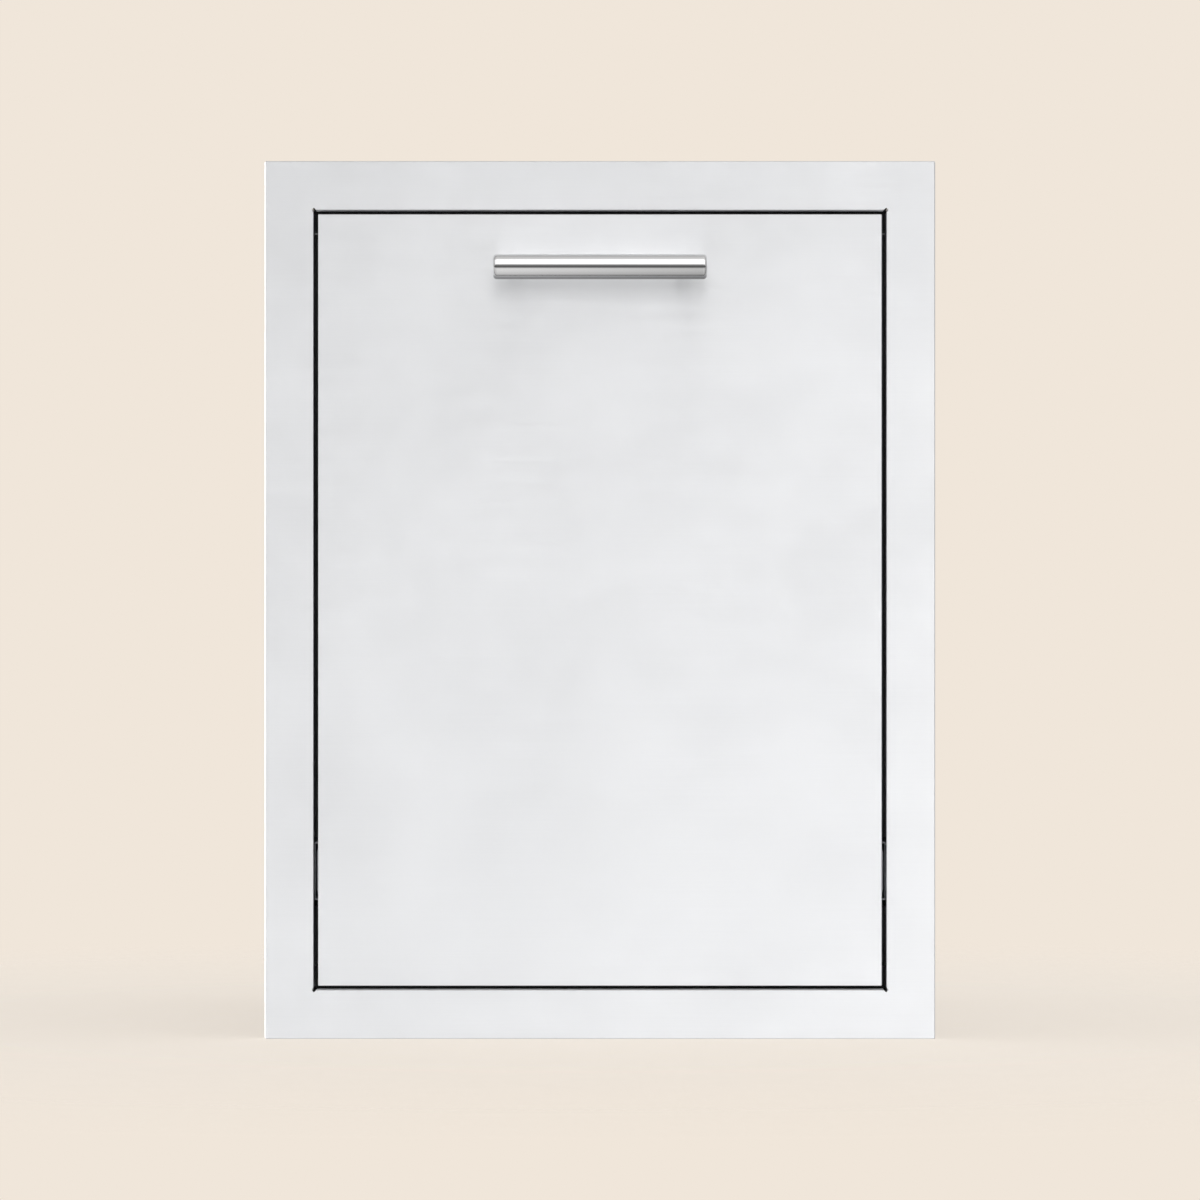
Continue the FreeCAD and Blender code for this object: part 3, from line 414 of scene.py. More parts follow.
def plastic(name, rgb, roughness, grain):
    """Moulded plastic with a fine pebbled grain and faint flow marks."""
    tree, place = new_material(name)
    flow = noise(tree, stretched(tree, place, FLOW_LINES), scale=1.6, detail=4.0)
    pebbles = add_node(tree, "ShaderNodeTexVoronoi", {"Vector": place, "Scale": grain}).outputs["Distance"]
    dust = noise(tree, place, scale=120.0, detail=5.0, roughness=0.6)
    gloss = plus(tree, varied(tree, flow, roughness, 0.05), varied(tree, dust, 0.0, 0.05))
    surface(tree, {
        "Base Color": tinted(tree, flow, rgb, (0.9, 1.1)),
        "Roughness": gloss,
        "Specular IOR Level": 0.45,
        "Normal": bumped(tree, pebbles, strength=0.35, distance=0.0002),
    })


def rubber(name, rgb, roughness):
    """Matt rubber with a dusty bloom."""
    tree, place = new_material(name)
    bloom = noise(tree, place, scale=260.0, detail=5.0, roughness=0.65)
    surface(tree, {
        "Base Color": tinted(tree, bloom, rgb, (0.8, 1.7), BLOOM_SPAN),
        "Roughness": varied(tree, bloom, roughness, 0.09),
        "Normal": bumped(tree, bloom, strength=0.25, distance=0.0002),
    })


def make_materials(finishes):
    """One material for each slot of the record, named for it, and one more for sheet rolled across."""
    # The face's colour carries a painted light gradient, brighter towards the lower right.
    steel("brushed_face", finishes.face, BRUSHED_LINES, roughness=0.42, tone=0.012, scatter=0.04,
          relief=0.000004, brush_map=BRUSH_MAP, anisotropy=0.95, painted_light=face_painted_light)
    for rolling, lines in (("", ROLLED_LINES), (CROSS_ROLLED, CROSS_ROLLED_LINES)):
        steel("sheet_steel" + rolling, finishes.sheet, lines, roughness=0.36, tone=0.05, scatter=0.07,
              relief=0.000002)
    # The handle's colour carries painted shade along the bar's underside and across its lower half.
    steel("handle_steel", finishes.handle, DRAWN_LINES, roughness=0.1, tone=0.015, scatter=0.02,
          relief=0.0000005, painted_light=bar_painted_shade)
    steel("ball_steel", finishes.ball, TURNED_LINES, roughness=0.09, tone=0.02, scatter=0.03,
          relief=0.0000005)
    for slot, rgb, gloss in (("rivet_steel", finishes.rivet, 0.3), ("screw_steel", finishes.screw, 0.27)):
        steel(slot, rgb, TURNED_LINES, roughness=gloss, tone=0.05, scatter=0.06, relief=0.000004)
    plating("slide_steel", finishes.slide, roughness=0.34)
    plating("cage_steel", finishes.cage, roughness=0.3)
    rubber("bumper_rubber", finishes.rubber, roughness=0.77)
    # Black coat on the stops and stretchers, also dark as painted shade for the gaps around the drawer
    # front.
    plastic("coated_steel", finishes.coat, roughness=0.55, grain=1800.0)
    plastic("buffer_plastic", finishes.buffer, roughness=0.5, grain=1500.0)
    plastic("plug_plastic", finishes.plug, roughness=0.48, grain=1500.0)
    plastic("trash_plastic", finishes.trash, roughness=0.46, grain=900.0)
    plastic("recycling_plastic", finishes.recycling, roughness=0.44, grain=900.0)


def material_of(node):
    """The finished material and the slot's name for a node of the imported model."""
    for subpart in frame["record"]["subparts"]:
        if subpart["node"] == node:
            slot = subpart["material_slot"]
            rolling = CROSS_ROLLED if node in CROSS_ROLLED_NODES else ""
            return bpy.data.materials[slot + rolling + FINISH], slot
    raise RuntimeError("the record names no material slot for " + node)


def body_of(node):
    """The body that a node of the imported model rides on."""
    for body, nodes in frame["record"]["behaviour"]["bodies"].items():
        if node in nodes:
            return body
    raise RuntimeError("no body holds " + node)


# Mesh helpers

def solid_boxes(node):
    """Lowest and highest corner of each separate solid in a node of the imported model."""
    bm = bmesh.new()
    bm.from_mesh(frame["nodes"][node].data)
    bmesh.ops.remove_doubles(bm, verts=bm.verts, dist=WELD)
    waiting = set(bm.verts)
    boxes = []
    while waiting:
        edge_of_search = [waiting.pop()]
        solid = []
        while edge_of_search:
            vertex = edge_of_search.pop()
            solid.append(vertex.co.copy())
            for edge in vertex.link_edges:
                other = edge.other_vert(vertex)
                if other in waiting:
                    waiting.remove(other)
                    edge_of_search.append(other)
        boxes.append([Vector([pick(values) for values in zip(*solid)]) for pick in (min, max)])
    bm.free()
    return sorted(boxes, key=lambda box: tuple(round(value, 5) for value in box[0]))


def arc(centre, radius, start, stop, steps=FOLD_STEPS):
    """Points of an arc from one angle to another, in degrees."""
    points = []
    for step in range(steps + 1):
        angle = math.radians(start + (stop - start) * step / steps)
        points.append((centre[0] + radius * math.cos(angle), centre[1] + radius * math.sin(angle)))
    return points


def circle(radius, sides):
    """Points round a circle."""
    return arc((0.0, 0.0), radius, 0, 360, sides)[:-1]


def rounded_rectangle(half_a, half_b, radius, steps=CORNER_STEPS):
    """Points round a rectangle with round corners."""
    points = []
    for quarter, (side_a, side_b) in enumerate(QUARTERS):
        centre = (side_a * (half_a - radius), side_b * (half_b - radius))
        points += arc(centre, radius, 90 * quarter, 90 * quarter + 90, steps)
    return points


def skin_loops(bm, loops, cap_first=False, cap_last=False):
    """Faces between rows of points that each close on themselves, with flat caps where asked."""
    rows = [[bm.verts.new(point) for point in loop] for loop in loops]
    for row, following in zip(rows, rows[1:]):
        for index in range(len(row)):
            after = (index + 1) % len(row)
            bm.faces.new((row[index], row[after], following[after], following[index]))
    if cap_first:
        bm.faces.new(rows[0][::-1])
    if cap_last:
        bm.faces.new(rows[-1])


def finished_mesh(name, bm, outward=None):
    """Mesh from a bmesh, with doubled points joined. An open skin is turned so that its foremost face
    looks outward; a closed one has its normals made to point out."""
    bmesh.ops.remove_doubles(bm, verts=bm.verts, dist=WELD)
    if outward is None:
        bmesh.ops.recalc_face_normals(bm, faces=bm.faces)
    else:
        bm.normal_update()

        def lead(face):
            return face.calc_center_median().dot(outward), face.calc_area()

        foremost = max(bm.faces, key=lead)
        if foremost.normal.dot(outward) < 0:
            bmesh.ops.reverse_faces(bm, faces=bm.faces)
    mesh = bpy.data.meshes.new(name)
    bm.to_mesh(mesh)
    bm.free()
    return mesh


def linked_object(name, data):
    """A new object in the scene."""
    obj = bpy.data.objects.new(name, data)
    bpy.context.scene.collection.objects.link(obj)
    return obj


def settled(obj):
    """The object's mesh with its modifiers applied. The object itself goes."""
    depsgraph = bpy.context.evaluated_depsgraph_get()
    mesh = bpy.data.meshes.new_from_object(obj.evaluated_get(depsgraph), depsgraph=depsgraph)
    spent = obj.data
    bpy.data.objects.remove(obj)
    if spent.users == 0:
        bpy.data.meshes.remove(spent)
    return mesh


def thickened(mesh, sheet):
    """The skin made into sheet of this thickness, on its inner side."""
    obj = linked_object(mesh.name, mesh)
    modifier = obj.modifiers.new("sheet", "SOLIDIFY")
    modifier.thickness = sheet
    modifier.offset = -1.0
    modifier.use_even_offset = True
    return settled(obj)


def cut(mesh, cutter):
    """The mesh with another taken out of it."""
    obj = linked_object(mesh.name, mesh)
    tool = linked_object(cutter.name, cutter)
    modifier = obj.modifiers.new("cut", "BOOLEAN")
    modifier.operation = "DIFFERENCE"
    modifier.solver = "EXACT"
    modifier.object = tool
    result = settled(obj)
    bpy.data.objects.remove(tool)
    bpy.data.meshes.remove(cutter)
    return result


def smooth(mesh):
    """Smooth shading that breaks at real edges."""
    mesh.shade_smooth()
    mesh.set_sharp_from_angle(angle=SHARP_ANGLE)


def brush_coordinates(mesh):
    """Map whose first axis runs across the brushing: up the face, and on round the folds."""
    layer = mesh.uv_layers.new(name=BRUSH_MAP)
    for polygon in mesh.polygons:
        normal = polygon.normal
        along = max(range(3), key=lambda axis: abs(normal[axis]))
        across, onward = ((2, 1), (2, 0), (1, 0))[along]
        for index in polygon.loop_indices:
            point = mesh.vertices[mesh.loops[index].vertex_index].co
            layer.data[index].uv = (point[across], point[onward])


def show(name, mesh, *nodes):
    """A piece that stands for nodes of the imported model: on their body, in their slot and material."""
    material, slot = material_of(nodes[0])
    mesh.materials.clear()
    mesh.materials.append(material)
    obj = linked_object(name, mesh)
    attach(obj, body_of(nodes[0]))
    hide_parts(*nodes)
    return obj


def show_even(name, mesh, node):
    """A smooth piece whose large flat faces stay evenly lit beside its rounded folds."""
    smooth(mesh)
    modifier = show(name, mesh, node).modifiers.new("flat faces", "WEIGHTED_NORMAL")
    modifier.keep_sharp = True
    modifier.weight = FLAT_WEIGHT


def lathe(bm, profile, place, sides):
    """Surface of revolution: each profile point is a distance along the axis and a radius, and place
    turns a distance and two offsets across the axis into a point."""
    rows = [[place(along, a, b) for a, b in circle(radius, sides)] for along, radius in profile]
    skin_loops(bm, rows, cap_first=True, cap_last=True)


def extruded(bm, outline, place, start, stop):
    """Prism over a closed outline, from start to stop along the axis that place puts first."""
    rows = [[place(along, a, b) for a, b in outline] for along in (start, stop)]
    skin_loops(bm, rows, cap_first=True, cap_last=True)


# Face frame and drawer front

def folded_sheet(name, high, profile, corner, sheet, closed=False):
    """Sheet folded along a row of points, each an inset from the outer edge and a depth. The last row is
    filled in where closed."""
    loops = []
    for inset, y in profile:
        outline = rounded_rectangle(high.x - inset, high.z - inset, max(corner - inset, 0.0))
        loops.append([(x, y, z) for x, z in outline])
    bm = bmesh.new()
    skin_loops(bm, loops, cap_last=closed)
    return thickened(finished_mesh(name, bm, AHEAD), sheet)


def frame_mesh(sizes):
    """Folded face frame: hem, outer return, front plate and inner return, slit at the opening's corners."""
    low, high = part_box("face_frame")
    front, rear = low.y, high.y
    seat = 0.0
    profile = [(sizes.hem, seat)]
    profile += arc((sizes.hem_fold, seat - sizes.hem_fold), sizes.hem_fold, 90, 180)
    profile += arc((sizes.fold, front + sizes.fold), sizes.fold, 180, 270)
    profile += arc((sizes.flange - sizes.fold, front + sizes.fold), sizes.fold, 270, 360)
    profile.append((sizes.flange, rear))
    shell = folded_sheet("frame", high, profile, sizes.corner, sizes.sheet)
    return cut(shell, relief_cutter(sizes, high.x - sizes.flange, high.z - sizes.flange, front, rear))


def relief_cutter(sizes, open_x, open_z, front, rear):
    """Blunt bars across the corners of the opening."""
    half = sizes.relief_width / 2
    end, side = sizes.relief_reach - sizes.relief_round, half - sizes.relief_round
    outline = arc((end, side), sizes.relief_round, 90, 0) + arc((end, -side), sizes.relief_round, 0, -90)
    outline += [(-2 * half, -half), (-2 * half, half)]
    bm = bmesh.new()
    for side_x, side_z in QUARTERS:
        turn = math.atan2(side_z, side_x)

        def place(y, along, across):
            x = side_x * open_x + along * math.cos(turn) - across * math.sin(turn)
            z = side_z * open_z + along * math.sin(turn) + across * math.cos(turn)
            return (x, y, z)

        extruded(bm, outline, place, front - sizes.fold, rear + sizes.fold)
    return finished_mesh("reliefs", bm)


def front_mesh(sizes):
    """Outer pan of the drawer front."""
    low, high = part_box("front_skin")
    profile = [(0.0, high.y)]
    profile += arc((sizes.skin_fold, low.y + sizes.skin_fold), sizes.skin_fold, 180, 270)
    return folded_sheet("front", high, profile, sizes.skin_fold, sizes.sheet, closed=True)


class DrawerFaceFrame(bpy.types.Operator):
    """Build the folded face frame, with its hem, its inner return and its corner slits"""
    bl_idname = "drawer.face_frame"
    bl_label = "Face frame"

    def execute(self, context):
        mesh = frame_mesh(context.scene.drawer_face)
        brush_coordinates(mesh)
        show_even("frame_shell", mesh, "face_frame")
        return {"FINISHED"}


class DrawerFront(bpy.types.Operator):
    """Build the outer pan of the drawer front"""
    bl_idname = "drawer.front"
    bl_label = "Drawer front"

    def execute(self, context):
        mesh = front_mesh(context.scene.drawer_face)
        brush_coordinates(mesh)
        show_even("front_shell", mesh, "front_skin")
        return {"FINISHED"}


# Handle

class DrawerHandle(bpy.types.Operator):
    """Build the handle's round bar and its two posts"""
    bl_idname = "drawer.handle"
    bl_label = "Handle"

    def execute(self, context):
        sizes = context.scene.drawer_handle
        low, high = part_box("handle_bar")
        middle = (low + high) / 2
        radius = min(high.y - low.y, high.z - low.z) / 2
        half = (high.x - low.x) / 2
        self.build_bar(sizes, middle, radius, half)
        self.build_posts(sizes, middle, radius)
        return {"FINISHED"}

    def build_bar(self, sizes, middle, radius, half):
        rounding = sizes.end_round
        right = arc((half - rounding, radius - rounding), rounding, 90, 0)
        left = [(-along, reach) for along, reach in reversed(right)]
        bm = bmesh.new()
        inner = half - rounding - sizes.end_band
        band = [(-inner, radius), (inner, radius)]
        lathe(bm, left + band + right, lambda along, a, b: (along, middle.y + a, middle.z + b), BAR_SIDES)
        mesh = finished_mesh("bar", bm)
        smooth(mesh)
        show("handle_grip", mesh, "handle_bar")

    def build_posts(self, sizes, middle, bar_radius):
        bm = bmesh.new()
        for low, high in solid_boxes("handle_posts"):
            x = (low.x + high.x) / 2
            radius = (high.x - low.x) / 2
            reach = middle.y + math.sqrt(bar_radius ** 2 - radius ** 2) - sizes.bite
            profile = [
                (high.y, radius - sizes.foot_chamfer),
                (high.y - sizes.foot_chamfer, radius),
                (reach, radius),
            ]
            lathe(bm, profile, lambda along, a, b: (x + a, along, middle.z + b), POST_SIDES)
        show_even("handle_legs", finished_mesh("posts", bm), "handle_posts")


# Bins

def bin_profile(sizes, height):
    """Path over a bin's section, from the middle of its base, up the outside and down the inside. Each
    point is an inset from the rim's outline and a height above the base."""
    wall, rim = sizes.wall, sizes.rim

    def taper(z):
        return rim + sizes.draft * (1 - z / height)

    turn = sizes.base_round
    foot_outer = taper(0) + turn
    foot_inner = foot_outer + sizes.foot
    rise = sizes.foot_rise
    path = [(foot_inner + 2 * rise, rise), (foot_inner + rise, rise), (foot_inner, 0.0)]
    path += arc((foot_outer, turn), turn, 270, 180)
    band_top = height - sizes.band_drop
    band_foot = band_top - sizes.band
    proud = sizes.band_proud
    path += [(taper(band_foot), band_foot), (taper(band_foot) - proud, band_foot + proud)]
    path += [(taper(band_top) - proud, band_top - proud), (taper(band_top), band_top)]
    under = height - wall
    path += arc((rim - wall, under - wall), wall, 0, 90, BEND_STEPS)
    path += arc((2 * wall, under - wall), wall, 90, 180, BEND_STEPS)
    skirt_foot = height - sizes.skirt
    path += arc((wall / 2, skirt_foot + wall / 2), wall / 2, 0, -180)
    path += arc((sizes.rim_round, height - sizes.rim_round), sizes.rim_round, 180, 90)
    lip = sizes.lip_round
    path += arc((rim + wall - lip, height - lip), lip, 90, 0)
    path += arc((foot_outer, turn), turn - wall, 180, 270)
    path += [(foot_inner, wall), (foot_inner + rise, wall + rise), (foot_inner + 2 * rise, wall + rise)]
    return path


def bin_mesh(sizes, node):
    """Moulded bin with a rolled rim, a stiffening band and a foot ring."""
    low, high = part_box(node)
    middle = (low + high) / 2
    half_x = (high.x - low.x) / 2
    half_y = (high.y - low.y) / 2
    loops = []
    for inset, z in bin_profile(sizes, high.z - low.z):
        radius = max(sizes.corner + sizes.rim - inset, sizes.corner - sizes.wall)
        outline = rounded_rectangle(half_x - inset, half_y - inset, radius, BIN_CORNER_STEPS)
        loops.append([(middle.x + x, middle.y + y, low.z + z) for x, y in outline])
    bm = bmesh.new()
    skin_loops(bm, loops, cap_first=True, cap_last=True)
    return finished_mesh(node, bm)


class DrawerBins(bpy.types.Operator):
    """Build the two lift-out bins"""
    bl_idname = "drawer.bins"
    bl_label = "Bins"

    def execute(self, context):
        for node in ("trash_bin", "recycling_bin"):
            show_even(node + "_shell", bin_mesh(context.scene.drawer_bins, node), node)
        return {"FINISHED"}


# Ball slides

def channel_outline(depth, half, sheet, bend):
    """Section of a channel: the web lies at depth nothing and the two lips reach to the full depth."""
    outer = bend + sheet
    end = sheet / 2
    turns = (
        ((depth - end, -half + end), end, -90, 90),
        ((outer, -half + outer), bend, 270, 180),
        ((outer, half - outer), bend, 180, 90),
        ((depth - end, half - end), end, -90, 90),
        ((outer, half - outer), outer, 90, 180),
        ((outer, -half + outer), outer, 180, 270),
    )
    return [point for turn in turns for point in arc(*turn, BEND_STEPS)]


class DrawerSlides(bpy.types.Operator):
    """Build the rolled members of both ball slides"""
    bl_idname = "drawer.slides"
    bl_label = "Slide members"

    def execute(self, context):
        sizes = context.scene.drawer_slides
        for side in SIDES:
            for member in ("cabinet", "middle", "drawer"):
                node = side + "_slide_" + member + "_member"
                low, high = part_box(node)
                web_outside = member != "drawer"
                web_high = web_outside == (side == "right")
                web_x = high.x if web_high else low.x
                toward = -1 if web_high else 1
                middle_z = (low.z + high.z) / 2
                outline = channel_outline(high.x - low.x, (high.z - low.z) / 2, sizes.sheet, sizes.bend)
                bm = bmesh.new()
                extruded(bm, outline, lambda y, u, z: (web_x + toward * u, y, middle_z + z), low.y, high.y)
                show_even(node + "_shell", finished_mesh(node, bm), node)
        return {"FINISHED"}


# Repeated pieces

HEADING = "heading"
RIVET_PROFILE = ((1.0, 0.0), (0.97, 0.3), (0.85, 0.62), (0.64, 0.86), (0.36, 1.0), (0.27, 0.68))
SCREW_PROFILE = ((1.0, 0.0), (1.0, 0.68), (0.94, 0.86), (0.8, 1.0))
SOCKET_SIDES = 6


def new_repeater(name, sizes):
    """Geometry tree with the points to fill, its named sizes and a material as inputs."""
    tree = bpy.data.node_groups.new(name, "GeometryNodeTree")
    sockets = [("Points", "INPUT", "Geometry")]
    sockets += [(size, "INPUT", "Float") for size in sizes]
    sockets += [("Material", "INPUT", "Material"), ("Geometry", "OUTPUT", "Geometry")]
    for label, way, kind in sockets:
        tree.interface.new_socket(name=label, in_out=way, socket_type="NodeSocket" + kind)
    return tree, add_node(tree, "NodeGroupInput")


def lifted(tree, geometry, height):
    """Geometry moved up by a height."""
    rise = add_node(tree, "ShaderNodeCombineXYZ", {"Z": height}).outputs["Vector"]
    feeds = {"Geometry": geometry, "Translation": rise}
    return add_node(tree, "GeometryNodeTransform", feeds).outputs["Geometry"]


def turned_head(tree, diameter, height, profile, sides):
    """Turned head from a row of points, each a share of the radius and of the height, with a flat cap at
    both ends."""
    radius = times(tree, diameter, 0.5)
    join = add_node(tree, "GeometryNodeJoinGeometry")

    def add(shape, share):
        part = lifted(tree, shape.outputs["Mesh"], times(tree, height, share))
        tree.links.new(part, join.inputs["Geometry"])

    for (near, low), (far, high) in zip(profile, profile[1:]):
        bottom, top = (near, far) if high >= low else (far, near)
        feeds = {
            "Vertices": sides,
            "Radius Bottom": times(tree, radius, bottom),
            "Radius Top": times(tree, radius, top),
            "Depth": times(tree, height, abs(high - low)),
        }
        add(add_node(tree, "GeometryNodeMeshCone", feeds, fill_type="NONE"), min(low, high))
    for reach, share in (profile[0], profile[-1]):
        feeds = {"Vertices": sides, "Radius": times(tree, radius, reach)}
        add(add_node(tree, "GeometryNodeMeshCircle", feeds, fill_type="NGON"), share)
    feeds = {"Geometry": join.outputs["Geometry"], "Distance": WELD}
    return add_node(tree, "GeometryNodeMergeByDistance", feeds).outputs["Geometry"]


def place_instances(tree, source, shape):
    """Put the shape on every point, along the point's own direction, and give the result to the output."""
    heading = add_node(tree, "GeometryNodeInputNamedAttribute", {"Name": HEADING}, data_type="FLOAT_VECTOR")
    turn = add_node(tree, "FunctionNodeAlignRotationToVector",
                    {"Vector": heading.outputs["Attribute"]}, axis="Z")
    spread = add_node(tree, "GeometryNodeInstanceOnPoints", {
        "Points": source.outputs["Points"],
        "Instance": shape,
        "Rotation": turn.outputs["Rotation"],
    })
    solid = add_node(tree, "GeometryNodeRealizeInstances", {"Geometry": spread.outputs["Instances"]})
    painted = add_node(tree, "GeometryNodeSetMaterial", {
        "Geometry": solid.outputs["Geometry"],
        "Material": source.outputs["Material"],
    })
    add_node(tree, "NodeGroupOutput", {"Geometry": painted.outputs["Geometry"]})


def rivet_tree():
    """Domed blind-rivet heads with a hollow in the middle."""
    tree, source = new_repeater("rivets", ("Head diameter", "Head height"))
    diameter, height = source.outputs["Head diameter"], source.outputs["Head height"]
    head = turned_head(tree, diameter, height, RIVET_PROFILE, RIVET_SIDES)
    place_instances(tree, source, head)
    return tree


def screw_tree():
    """Pan heads with a hexagon socket."""
    tree, source = new_repeater("screws", ("Head diameter", "Head height", "Socket width", "Socket depth"))
    height = source.outputs["Head height"]
    depth = source.outputs["Socket depth"]
    head = turned_head(tree, source.outputs["Head diameter"], height, SCREW_PROFILE, SCREW_SIDES)
    reach = times(tree, source.outputs["Socket width"], 1 / math.sqrt(3))
    feeds = {"Vertices": SOCKET_SIDES, "Radius": reach, "Depth": times(tree, depth, 2.0)}
    pin = add_node(tree, "GeometryNodeMeshCylinder", feeds)
    feeds = {"Mesh 1": head, "Mesh 2": lifted(tree, pin.outputs["Mesh"], height)}
    drilled = add_node(tree, "GeometryNodeMeshBoolean", feeds, operation="DIFFERENCE", solver="EXACT")
    place_instances(tree, source, drilled.outputs["Mesh"])
    return tree


def ball_tree():
    """Bearing balls."""
    tree, source = new_repeater("balls", ("Diameter",))
    radius = times(tree, source.outputs["Diameter"], 0.5)
    feeds = {"Segments": BALL_SEGMENTS, "Rings": BALL_RINGS, "Radius": radius}
    ball = add_node(tree, "GeometryNodeMeshUVSphere", feeds)
    place_instances(tree, source, ball.outputs["Mesh"])
    return tree


def repeated(node, tree, points, values):
    """A piece that fills points, each with a direction, through a geometry tree, as one plain mesh."""
    seed = bpy.data.meshes.new(node)
    seed.from_pydata([place for place, heading in points], [], [])
    layer = seed.attributes.new(HEADING, "FLOAT_VECTOR", "POINT")
    for item, (place, heading) in zip(layer.data, points):
        item.vector = heading
    obj = linked_object(node, seed)
    modifier = obj.modifiers.new("fill", "NODES")
    modifier.node_group = tree
    inputs = {**values, "Material": material_of(node)[0]}
    for socket in tree.interface.items_tree:
        if socket.in_out == "INPUT" and socket.name in inputs:
            modifier[socket.identifier] = inputs[socket.name]
    mesh = settled(obj)
    if len(mesh.polygons) == 0:
        raise RuntimeError("nothing was made for " + node)
    smooth(mesh)
    return show(node + "_set", mesh, node)


def head_points(node, height, axis=None, inward=False):
    """Foot and direction of each head in a node. A head stands along the axis given, or along its solid's
    shortest one: towards the back along Y, and otherwise away from the middle unless it looks inward."""
    points = []
    for low, high in solid_boxes(node):
        place = (low + high) / 2
        size = list(high - low)
        along = size.index(min(size)) if axis is None else axis
        sign = 1 if along == 1 or (place[along] > 0) != inward else -1
        crown = high[along] if sign > 0 else low[along]
        place[along] = crown - sign * height
        heading = Vector((0, 0, 0))
        heading[along] = sign
        points.append((place, heading))
    return points


class DrawerRivets(bpy.types.Operator):
    """Build the rivets of the frame, the housing, the slides and the gussets"""
    bl_idname = "drawer.rivets"
    bl_label = "Rivets"

    def execute(self, context):
        sizes = context.scene.drawer_fasteners
        values = {"Head diameter": sizes.rivet_head, "Head height": sizes.rivet_height}
        tree = rivet_tree()
        for node in ("frame_rivets", "housing_rivets", "slide_cabinet_rivets", "gusset_rivets"):
            repeated(node, tree, head_points(node, sizes.rivet_height), values)
        return {"FINISHED"}


class DrawerScrews(bpy.types.Operator):
    """Build the screws of the drawer front and of the slides' drawer members"""
    bl_idname = "drawer.screws"
    bl_label = "Screws"

    def execute(self, context):
        sizes = context.scene.drawer_fasteners
        values = {
            "Head diameter": sizes.screw_head,
            "Head height": sizes.screw_height,
            "Socket width": sizes.screw_socket,
            "Socket depth": sizes.socket_depth,
        }
        tree = screw_tree()
        for node, axis in (("slide_drawer_screws", 0), ("front_screws", 1)):
            points = head_points(node, sizes.screw_height, axis, inward=True)
            repeated(node, tree, points, values)
        return {"FINISHED"}


class DrawerBalls(bpy.types.Operator):
    """Build the balls of both slides"""
    bl_idname = "drawer.balls"
    bl_label = "Slide balls"

    def execute(self, context):
        tree = ball_tree()
        for side in SIDES:
            for cage in ("outer", "inner"):
                node = side + "_" + cage + "_balls"
                points = [((low + high) / 2, UP) for low, high in solid_boxes(node)]
                repeated(node, tree, points, {"Diameter": context.scene.drawer_slides.ball})
        return {"FINISHED"}


# Finishes

class DrawerFinishes(bpy.types.Operator):
    """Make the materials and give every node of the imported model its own"""
    bl_idname = "drawer.finishes"
    bl_label = "Finishes"

    def execute(self, context):
        make_materials(context.scene.drawer_finishes)
        for name, obj in frame["nodes"].items():
            material = material_of(name)[0]
            if not obj.material_slots:
                obj.data.materials.append(material)
            for slot in obj.material_slots:
                slot.material = material
        return {"FINISHED"}


# Studio

SKY_STOPS = (
    (-180, 1.1), (-139, 0.8), (-102, 0.42), (-88, 0.5), (-78, 0.9), (-65, 0.97), (-54, 1.07), (-34, 1.2),
    (-24, 1.22), (-15, 1.05), (-9, 0.25), (-4, 0.2), (6, 0.2), (10, 0.36), (14, 0.6), (21, 1.0), (30, 1.15),
    (40, 1.0), (62, 1.0), (70, 1.1), (78, 1.2), (90, 1.15), (104, 0.95), (120, 0.85), (140, 1.0),
    (160, 1.1), (180, 1.1),
)
SIDE_STOPS = (
    (-1.0, 0.8), (-0.5, 0.85), (-0.25, 0.85), (0.0, 1.0), (0.25, 1.15), (0.5, 0.95), (1.0, 0.8),
)
SKY_SCALE = 2.5
SKY_TINT = (1.0, 0.995, 0.985, 1.0)
FLOOR_TONES = (0.985, 1.015)
FLOOR_RINGS = 12
FLOOR_SIDES = 72
CAMERA_REACH = 100.0
FLOOR = "floor"
FRONT_PIECES = ("front_shell",)
FACE_PIECES = ("frame_shell",) + FRONT_PIECES
GRIP_PIECES = ("handle_grip",)
HANDLE_PIECES = GRIP_PIECES + ("handle_legs",)
FACE_AND_HANDLE = FACE_PIECES + HANDLE_PIECES
SOFTBOXES = {
    "face_key": ((0.0, -4.0, 1.15), (0.0, 0.0, 0.2), (7.0, 1.6), FACE_PIECES, FACE_PIECES + GRIP_PIECES),
    "face_broad": ((0.6, -1.6, -1.2), (0.6, 0.0, -1.2), (6.0, 3.6), FACE_PIECES, FACE_PIECES),
    "handle_glow": ((0.0, -0.03, 0.2576), (0.0, 0.03, 0.3376), (0.157, 0.004), FRONT_PIECES, FRONT_PIECES),
    "face_side": ((-0.8, 0.0, 0.0), (0.0, 0.0, 0.0), (0.6, 2.0), FACE_PIECES, FACE_PIECES),
    "edge_side": ((-0.8, 0.27, 0.0), (-0.25, 0.0, 0.0), (0.5, 2.0), FACE_PIECES, FACE_PIECES),
    "handle_key": ((0.0, -0.728, 0.985), (0.0, -0.046, 0.254), (2.4, 0.97), HANDLE_PIECES, HANDLE_PIECES),
    "housing_top": ((0.0, -0.2, 1.9), (0.0, 0.1, 0.0), (1.8, 1.8), (), ()),
}


